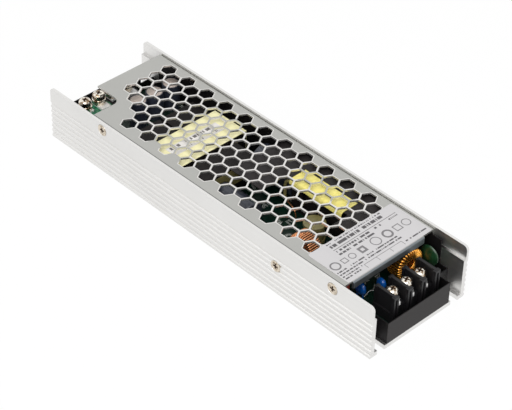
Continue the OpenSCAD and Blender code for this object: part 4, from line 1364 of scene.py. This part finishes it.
@dataclass
class CaseScrews(Assembly):
    """Countersunk screws in the side walls."""

    head: float = 5.4
    shank: float = 3.0
    cover_length: float = 3.6
    cover_places: tuple[float, float] = (-62.2, 75.3)
    cover_height: float = 22.2
    clamp_place: tuple[float, float] = (44.0, 13.7)

    def on_wall(self, screw: Piece, places: Sequence[tuple[float, float]], wall: Wall) -> list[Piece]:
        """Copies a screw into a side wall.

        Args:
            screw: the pattern, which is used up.
            places: places along X and Z.
            wall: the wall it faces out of.

        Returns:
            The screws.
        """
        face = node_box("chassis")[1].y * wall.value
        turn = (-wall.value * math.pi / 2, 0, 0)
        return self.bench.copies(screw, [(x, face, z) for x, z in places], turn)

    def build(self) -> None:
        """Builds the four cover screws and the clamp screw."""
        maker = ScrewMaker(self.bench, self.dresser)
        places = [(x, self.cover_height) for x in self.cover_places]
        screws = []
        for wall in Wall:
            pattern = maker.flat("cover_screw", self.shank, self.head, self.cover_length)
            screws += self.on_wall(pattern, places, wall)
        self.dresser.mount(self.bench.join("cover_screw_set", screws), "screw_nickel", ["cover_screws"])
        low, high = node_box("clamp_screw")
        pattern = maker.flat("clamp_screw_head", self.shank, self.head, high.y - low.y)
        clamp = self.on_wall(pattern, [self.clamp_place], Wall.NEAR)[0]
        clamp.name = "clamp_screw_piece"
        self.dresser.mount(clamp, "screw_nickel", ["clamp_screw"])


@dataclass
class UprightRow:
    """Row of equal upright screws or cans across the channel, read from its CAD node."""

    low: Vector
    high: Vector
    count: int

    @classmethod
    def of(cls, node: str, count: int) -> "UprightRow":
        """Row of so many pieces in a CAD node."""
        return cls(*node_box(node), count)

    @property
    def width(self) -> float:
        """Diameter of the heads or cans."""
        return self.high.x - self.low.x

    @property
    def middle(self) -> float:
        """Middle of the row across the channel."""
        return (self.low.y + self.high.y) / 2

    @property
    def pitch(self) -> float:
        """Spacing of the pieces."""
        return (self.high.y - self.low.y - self.width) / (self.count - 1)

    def places(self, height: float) -> list[Point]:
        """Axes of the pieces at a height."""
        x, first = (self.low.x + self.high.x) / 2, self.low.y + self.width / 2
        return [(x, first + number * self.pitch, height) for number in range(self.count)]


@dataclass
class InputTerminals(Assembly):
    """Barrier terminal block at the mains end, with its screws."""

    poles: int = 3
    wall: float = 1.3
    wall_round: float = 0.6
    tab: float = 2.2
    tab_drop: float = 0.2
    post: float = 2.8
    post_depth: float = 1.6
    post_drop: float = 0.1
    slot: float = 1.0
    foot_height: float = 5.0
    edge: float = 0.16
    shank: float = 3.0
    bore: float = 3.2
    bore_depth: float = 5.6
    head_height: float = 2.8
    screw_turn: float = 20.0
    tip: float = 2.0
    tip_height: float = 1.0

    def tips(self, row: UprightRow) -> None:
        """Pressed beads at the front ends of the contact plates.

        Args:
            row: the screws, which give the places across the channel.
        """
        bench = self.bench
        _, high = node_box("input_contacts")
        radius = self.tip / 2
        beads = []
        for _, y, _ in row.places(0):
            bead = bench.ball("contact_bead", (high.x - radius, y, high.z), (radius, radius, self.tip_height))
            bench.pick(bead, Part.FACE, lambda centre, normal: True)
            bpy.ops.mesh.bisect(
                plane_co=(0, 0, high.z * MM), plane_no=(0, 0, 1), use_fill=True, clear_inner=True)
            bench.clear()
            bench.smooth(bead, Crease.SOFT)
            beads.append(bead)
        self.dresser.mount(bench.join("contact_beads", beads), "tinned_metal")

    def barrier(self, y: float, low: Vector, high: Vector) -> Piece:
        """One barrier with a slotted front post and a back tab.

        Args:
            y: middle of the barrier.
            low: lowest corner of the block.
            high: highest corner of the block.

        Returns:
            The barrier.
        """
        bench = self.bench
        wall, tab, post, slot = (width / 2 for width in (self.wall, self.tab, self.post, self.slot))
        plate = bench.block("barrier", (low.x, y - wall, low.z), (high.x, y + wall, high.z))
        bench.round_edges(plate, lambda middle, way: abs(way.y) > ALONG and middle.z > high.z - SLACK,
                          self.wall_round, segments=3)
        back = bench.block(
            "tab", (low.x, y - tab, low.z), (low.x + self.wall, y + tab, high.z - self.tab_drop))
        front = bench.block(
            "post", (high.x - self.post_depth, y - post, low.z), (high.x, y + post, high.z - self.post_drop))
        bench.combine(plate, [back, front], "UNION")
        groove = bench.block("groove", (high.x - self.post_depth / 2, y - slot, low.z + self.wall),
                             (high.x + OVERCUT, y + slot, high.z - self.wall))
        bench.combine(plate, [groove], "DIFFERENCE")
        return plate

    def build(self) -> None:
        """Builds the block and its three screws."""
        bench = self.bench
        low, high = node_box("input_block")
        floor = node_box("input_contacts")[0].z
        front = high.x - self.post_depth
        row = UprightRow.of("input_screws", self.poles)
        half = self.poles * row.pitch / 2
        near, far = row.middle - half, row.middle + half
        block = bench.block("terminal_block", (low.x, near, low.z), (front, far, floor))
        foot = bench.block("foot", low, (front, high.y, low.z + self.foot_height))
        walls = [self.barrier(row.middle + (number - self.poles / 2) * row.pitch, low, high)
                 for number in range(self.poles + 1)]
        bench.combine(block, [foot, *walls], "UNION")
        holes = [bench.rod("hole", place, self.bore / 2, 2 * self.bore_depth) for place in row.places(floor)]
        bench.combine(block, holes, "DIFFERENCE")
        bench.soften(block, self.edge)
        self.finish(block, "block_black", ["input_block"], Crease.SHARP)
        base = row.high.z - self.head_height
        # Terminal screws with painted reflection in their brown mottling.
        maker = ScrewMaker(bench, self.dresser, PAINTED_REFLECTION_PLATING)
        screw = maker.pan("terminal_screw", self.shank, row.width, self.head_height, base - row.low.z)
        self.mount_copies("terminal_screw_set", screw, row.places(base), "screw_nickel", ["input_screws"],
                          self.screw_turn)
        self.tips(row)


@dataclass
class OutputTerminals(Assembly):
    """Output screws with their flat and spring washers."""

    count: int = 4
    shank: float = 3.0
    washer: float = 6.2
    washer_height: float = 0.8
    washer_edge: float = 0.12
    spring: float = 5.6
    spring_edge: float = 0.14
    sides: int = 40
    bore: float = 3.2
    bore_cut: float = 4.0
    split: float = 0.5
    washer_turn: float = -65.0
    screw_turn: float = 30.0

    def washers(self, base: float, top: float) -> Piece:
        """One flat washer with a split spring washer on it, around the Z axis.

        Args:
            base: underside of the flat washer.
            top: top of the spring washer.

        Returns:
            The pair as one piece.
        """
        bench = self.bench
        step = base + self.washer_height
        half = self.split / 2
        middle = (0, 0, (base + step) / 2)
        flat = bench.rod("flat_washer", middle, self.washer / 2, self.washer_height, sides=self.sides)
        bench.combine(flat, [bench.rod("bore", (0, 0, step), self.bore / 2, self.bore_cut)], "DIFFERENCE")
        bench.soften(flat, self.washer_edge)
        middle = (0, 0, (step + top) / 2)
        ring = bench.rod("spring_washer", middle, self.spring / 2, top - step, sides=self.sides)
        gap = bench.block("gap", (0, -half, step - OVERCUT), (self.spring, half, top + OVERCUT))
        bench.combine(ring, [bench.rod("bore", (0, 0, top), self.bore / 2, self.bore_cut), gap], "DIFFERENCE")
        bench.soften(ring, self.spring_edge)
        pair = bench.join("washer_pair", [flat, ring])
        # Washers with painted reflection in their brown mottling.
        pair.data.materials.clear()
        pair.data.materials.append(self.dresser.materials[PAINTED_REFLECTION_PLATING])
        bench.smooth(pair)
        return pair

    def build(self) -> None:
        """Builds the washers and screws at each output place."""
        row = UprightRow.of("output_screws", self.count)
        low, high = node_box("output_washers")
        washers = self.washers(low.z, high.z)
        self.mount_copies("washer_set", washers, row.places(0), "screw_nickel", ["output_washers"],
                          self.washer_turn)
        # Output screws with painted reflection in their brown mottling.
        maker = ScrewMaker(self.bench, self.dresser, PAINTED_REFLECTION_PLATING)
        screw = maker.pan("output_screw", self.shank, row.width, row.high.z - high.z, high.z - row.low.z)
        self.mount_copies("output_screw_set", screw, row.places(high.z), "screw_nickel", ["output_screws"],
                          self.screw_turn)


@dataclass
class WoundRing:
    """Wire wound around a ring core, as separate turns with a gap at the foot."""

    bench: Bench
    name: str
    node: str
    axis: Axis
    core: float
    wire: float
    count: int
    corner: float = 0.8
    start: float = -80.0
    sweep: float = 340.0

    def turns(self) -> Piece:
        """Winds the turns around the core's CAD node.

        Returns:
            The turns as one piece.
        """
        bench = self.bench
        low, high = node_box(self.node)
        outer = (high.z - low.z) / 2
        inner = outer - self.core
        along_y = self.axis is Axis.Y
        width = high.y - low.y if along_y else high.x - low.x
        turn = bench.loop(self.name, width + self.wire, outer - inner + self.wire, self.corner, self.wire / 2)
        bench.place(turn, (0, (inner + outer) / 2, 0))
        bench.place(turn, (0, 0, 0), (math.radians(self.start), 0, 0))
        bench.pick(turn, Part.FACE, lambda centre, normal: True)
        bpy.ops.mesh.spin(steps=self.count - 1, dupli=True, angle=math.radians(self.sweep),
                          center=(0, 0, 0), axis=(1, 0, 0))
        bench.clear()
        bench.place(turn, (low + high) / 2, (0, 0, math.pi / 2 if along_y else 0))
        bench.smooth(turn, Crease.WIRE)
        return turn


@dataclass
class MainsFilter(Assembly):
    """Choke, varistor, disc capacitors and a wire link at the mains end."""

    choke_turns: int = 32
    choke_wire: float = 0.95
    core_width: float = 3.2
    blue_places: tuple[Point, Point] = ((74.6, -10.2, 11.8), (78.2, -2.0, 11.8))
    blue_radii: tuple[float, float] = (3.05, 2.55)
    blue_half: float = 1.55
    blue_turn: float = -5.0
    blue_spread: float = 1.6
    varistor_spread: float = 2.6
    lead: float = 0.7
    lead_sides: int = 10
    jumper: float = 0.22
    jumper_route: tuple[Point, ...] = (
        (75.6, -8.8, 0.0), (75.8, -8.2, 0.8), (76.0, -6.6, 2.0),
        (76.7, -5.0, 2.0), (77.2, -4.2, 1.6), (77.4, -4.0, 0.0))

    def choke(self) -> None:
        """Gold wire around the choke's core."""
        ring = WoundRing(self.bench, "choke_wire", "choke_core", Axis.X, self.core_width, self.choke_wire,
                         self.choke_turns)
        self.dresser.mount(ring.turns(), "wire_gold", ["choke_windings"])

    def legs(self, middle: Vector, spread: float, turn: float, base: float) -> list[Piece]:
        """Two leads under a disc part.

        Args:
            middle: centre of the disc.
            spread: distance of a lead from the middle.
            turn: turn of the part about Z in degrees.
            base: height of the board.

        Returns:
            The leads.
        """
        way = Vector((math.cos(math.radians(turn)), math.sin(math.radians(turn)), 0)) * spread
        height = (base + middle.z) / 2
        return [self.bench.rod("leg", (*(middle + way * side).xy, height), self.lead / 2, middle.z - base,
                               sides=self.lead_sides) for side in (-1, 1)]

    def discs(self) -> None:
        """Blue disc capacitors as dipped lenses on two leads."""
        base = node_box("circuit_board")[1].z
        pieces = []
        for place, radius in zip(self.blue_places, self.blue_radii):
            radii = (radius, self.blue_half, radius)
            pieces.append(self.bench.ball("blue_disc", place, radii, self.blue_turn))
            pieces += self.legs(Vector(place), self.blue_spread, self.blue_turn, base)
        self.finish(self.bench.join("blue_disc_pair", pieces), "disc_blue", ["blue_capacitors"])

    def varistor(self) -> None:
        """Varistor as a dipped lens on two leads."""
        low, high = node_box("varistor")
        radius = (high.x - low.x) / 2
        middle = Vector(((low.x + high.x) / 2, (low.y + high.y) / 2, high.z - radius))
        lens = self.bench.ball("varistor_lens", middle, (radius, (high.y - low.y) / 2, radius))
        legs = self.legs(middle, self.varistor_spread, 0, low.z)
        self.finish(self.bench.join("varistor_piece", [lens, *legs]), "varistor_green", ["varistor"])

    def jumper_wire(self) -> None:
        """Bare wire link that stands on the board beside the first disc."""
        base = node_box("circuit_board")[1].z
        route = [(x, y, base + rise) for x, y, rise in self.jumper_route]
        self.finish(self.bench.tube("jumper_wire", route, self.jumper / 2), "tinned_metal")

    def build(self) -> None:
        """Builds the filter's parts."""
        self.choke()
        self.discs()
        self.varistor()
        self.jumper_wire()


@dataclass
class InnerParts(Assembly):
    """Wound parts, capacitors and tape seen through the honeycomb."""

    ring_turns: int = 40
    ring_wire: float = 0.66
    core_width: float = 3.0
    lying_sides: int = 48
    lying_round: float = 0.9
    cans: int = 3
    can_sides: int = 40
    can_rim: float = 0.15
    can_round: float = 0.25
    lid: float = 0.6
    lid_gap: float = 0.3
    lid_round: float = 0.2
    lead_wire: float = 0.7
    lead_sleeve: float = 1.5
    tape_steps: tuple[tuple[float, float], ...] = ((-0.5, -0.2), (-0.4, -0.5), (-0.3, -0.6), (-0.2, -0.7))
    edge_slack: float = 0.01

    def ring(self) -> None:
        """Copper winding of the ring choke."""
        ring = WoundRing(self.bench, "ring_wire", "ring_core", Axis.Y, self.core_width, self.ring_wire,
                         self.ring_turns)
        self.dresser.mount(ring.turns(), "wire_copper", ["ring_winding"])

    def lying_can(self, node: str) -> None:
        """Lying capacitor: a shrunk sleeve with rounded ends.

        Args:
            node: the CAD node that it stands for.
        """
        bench = self.bench
        low, high = node_box(node)
        radius = (high.z - low.z) / 2
        can = bench.rod(f"{node}_sleeve", (low + high) / 2, radius, high.x - low.x, Axis.X, self.lying_sides)
        bench.round_edges(can, lambda middle, way: abs(way.x) < ALONG, self.lying_round, segments=4)
        self.finish(can, "sleeve_dark", [node], Crease.PLAIN)

    def standing_cans(self) -> None:
        """Row of output capacitors: dark sleeves with pale lids sunk into their tops."""
        bench = self.bench
        row = UprightRow.of("output_capacitors", self.cans)
        radius = row.width / 2
        height = row.high.z - row.low.z
        sleeve = bench.rod("can_sleeve", (0, 0, height / 2), radius, height, sides=self.can_sides)
        bench.round_top(sleeve, height, self.can_round, segments=3)
        bench.recess(sleeve, lambda centre, normal: normal.z > UPWARD, self.can_rim, self.lid)
        inner = radius - self.can_rim - self.lid_gap
        lid = bench.rod("can_lid", (0, 0, height - self.lid / 2), inner, self.lid, sides=self.can_sides)
        bench.round_top(lid, height, self.lid_round, segments=3)
        for can, slot in ((sleeve, "sleeve_dark"), (lid, "can_metal")):
            bench.smooth(can)
            self.mount_copies(f"{can.name}_row", can, row.places(row.low.z), slot, ["output_capacitors"])

    def choke_lead(self) -> None:
        """End of the boost choke's winding: sleeved beside the choke, then bare copper down to the board."""
        base = node_box("circuit_board")[1].z
        low, high = node_box("boost_choke")
        bend = (13.0, low.y - 0.7, 11.2)
        sleeved = [(low.x + 0.3, low.y + 0.3, high.z - 1.4), (14.0, low.y - 0.3, high.z - 1.6),
                   (12.6, low.y - 0.5, high.z - 3.4), (12.8, low.y - 0.6, 14.0), bend]
        bare = [bend, (13.6, low.y - 0.9, 10.9), (16.1, low.y - 1.6, 10.8), (20.0, low.y - 2.6, 10.6),
                (21.6, low.y - 2.9, 9.0), (21.9, low.y - 2.9, base)]
        for name, route, width, slot in (("lead_sleeve", sleeved, self.lead_sleeve, "tape_olive"),
                                         ("choke_lead", bare, self.lead_wire, "wire_copper")):
            self.finish(self.bench.tube(name, route, width / 2), slot)

    def flap_tape(self) -> None:
        """Tape on the flap, with its free edge drooping in small steps."""
        bench = self.bench
        low, high = node_box("flap_tape")
        film = node_box("insulation_flap")[1].z
        droop = sum(step for step, _ in self.tape_steps)
        sheet = bench.block("tape_sheet", (low.x, low.y - droop, film), high)
        for step, fall in self.tape_steps:
            edge = min(vertex.co.y for vertex in sheet.data.vertices) / MM
            bench.pick(sheet, Part.FACE, lambda centre, normal: centre.y < edge + self.edge_slack)
            bpy.ops.mesh.extrude_region_move(TRANSFORM_OT_translate={"value": (0, step * MM, fall * MM)})
            bench.clear()
        self.finish(sheet, "tape_yellow", ["flap_tape"], Crease.SOFT)

    def build(self) -> None:
        """Builds the inner parts."""
        self.ring()
        self.lying_can("bulk_capacitor")
        self.lying_can("aux_capacitor")
        self.standing_cans()
        self.choke_lead()
        self.flap_tape()


@dataclass
class Studio:
    """White floor, soft light and the camera at the photograph's angle."""

    bench: Bench
    eye: Point = (449.4, -440.61, 514.05)
    yaw: float = -45.282
    pitch: float = -39.035
    roll: float = 1.562
    focal_px: float = 1921.1
    sensor: float = 36.0
    near_clip: float = 0.01
    sky: float = 0.55
    white: float = 0.95
    key: Point = (0.6, -0.95, 1.3)
    key_aim: Point = (0.0, 0.0, 0.01)
    key_size: float = 1.6
    key_power: float = 26.0
    floor_size: float = 6.0
    floor_grain: float = 2.0
    floor_tones: tuple[float, float] = (0.93, 0.97)
    floor_roughness: float = 0.9

    def show_white(self, paint: Paint) -> None:
        """Mixes plain white over a shader where camera, mirrors and glass look at it.

        Args:
            paint: the node tree of the floor or of the world.
        """
        path = paint.node("ShaderNodeLightPath").outputs
        looks = [Value(paint, path[f"Is {kind} Ray"]) for kind in ("Camera", "Glossy", "Transmission")]
        seen = looks[0].either(looks[1]).either(looks[2])
        white = paint.node(paint.glow, {"Color": WHITE, "Strength": 1.0})
        mixed = paint.node("ShaderNodeMixShader", {
            0: seen * self.white, 1: paint.shader.outputs[0], 2: white.outputs[0]})
        paint.tree.links.new(mixed.outputs[0], paint.output.inputs["Surface"])

    def floor(self) -> None:
        """Pale floor that keeps a faint shadow."""
        self.bench.clear()
        bpy.ops.mesh.primitive_plane_add(size=self.floor_size)
        floor = self.bench.settle("floor")
        paint = Paint("floor_paper")
        grain = paint.noise(self.floor_grain, detail=2)
        paint.surface(Base_Color=paint.tones(grain, WHITE, *self.floor_tones), Roughness=self.floor_roughness)
        self.show_white(paint)
        floor.data.materials.append(paint.material)

    def world(self) -> None:
        """Even surroundings: white to look at and in mirrors, and dimmer as a light."""
        paint = Paint("studio", world=True)
        bpy.context.scene.world = paint.surface(Color=WHITE, Strength=self.sky)
        self.show_white(paint)

    def lamp(self) -> None:
        """Soft square lamp aimed at the object."""
        self.bench.clear()
        aim = Vector(self.key_aim) - Vector(self.key)
        turn = aim.to_track_quat("-Z", "Y").to_euler()
        bpy.ops.object.light_add(type="AREA", location=self.key, rotation=turn)
        lamp = bpy.context.active_object
        lamp.name = "key"
        lamp.data.size = self.key_size
        lamp.data.energy = self.key_power

    def camera(self) -> None:
        """Camera with the photograph's place, turn and lens."""
        self.bench.clear()
        yaw, pitch, roll = (math.radians(angle) for angle in (self.yaw, self.pitch, self.roll))
        ahead = Vector((math.sin(yaw) * math.cos(pitch), math.cos(yaw) * math.cos(pitch), math.sin(pitch)))
        right = Vector((math.cos(yaw), -math.sin(yaw), 0))
        up = right.cross(ahead)
        turned_right = right * math.cos(roll) + up * math.sin(roll)
        turned_up = up * math.cos(roll) - right * math.sin(roll)
        turn = Matrix((turned_right, turned_up, -ahead)).transposed()
        bpy.ops.object.camera_add(location=Vector(self.eye) * MM, rotation=turn.to_euler())
        camera = bpy.context.active_object
        camera.data.sensor_fit = "HORIZONTAL"
        camera.data.sensor_width = self.sensor
        camera.data.lens = self.focal_px / PHOTO_WIDTH_PX * self.sensor
        camera.data.clip_start = self.near_clip
        bpy.context.scene.camera = camera

    def build(self) -> None:
        """Sets up the floor, the light and the camera."""
        bpy.context.scene.view_settings.view_transform = "Standard"
        self.floor()
        self.world()
        self.lamp()
        self.camera()


def main() -> None:
    """Builds the pieces, the finishes and the studio."""
    logging.basicConfig(level=logging.INFO, format="%(name)s: %(message)s")
    bench = Bench()
    dresser = Dresser()
    dresser.dress_nodes()
    kinds = (CaseScrews, InputTerminals, OutputTerminals, MainsFilter, InnerParts)
    for assembly in (*(kind(bench, dresser) for kind in kinds), Studio(bench)):
        assembly.build()
        LOG.info("%s built", type(assembly).__name__)


if __name__ == "__main__":
    main()
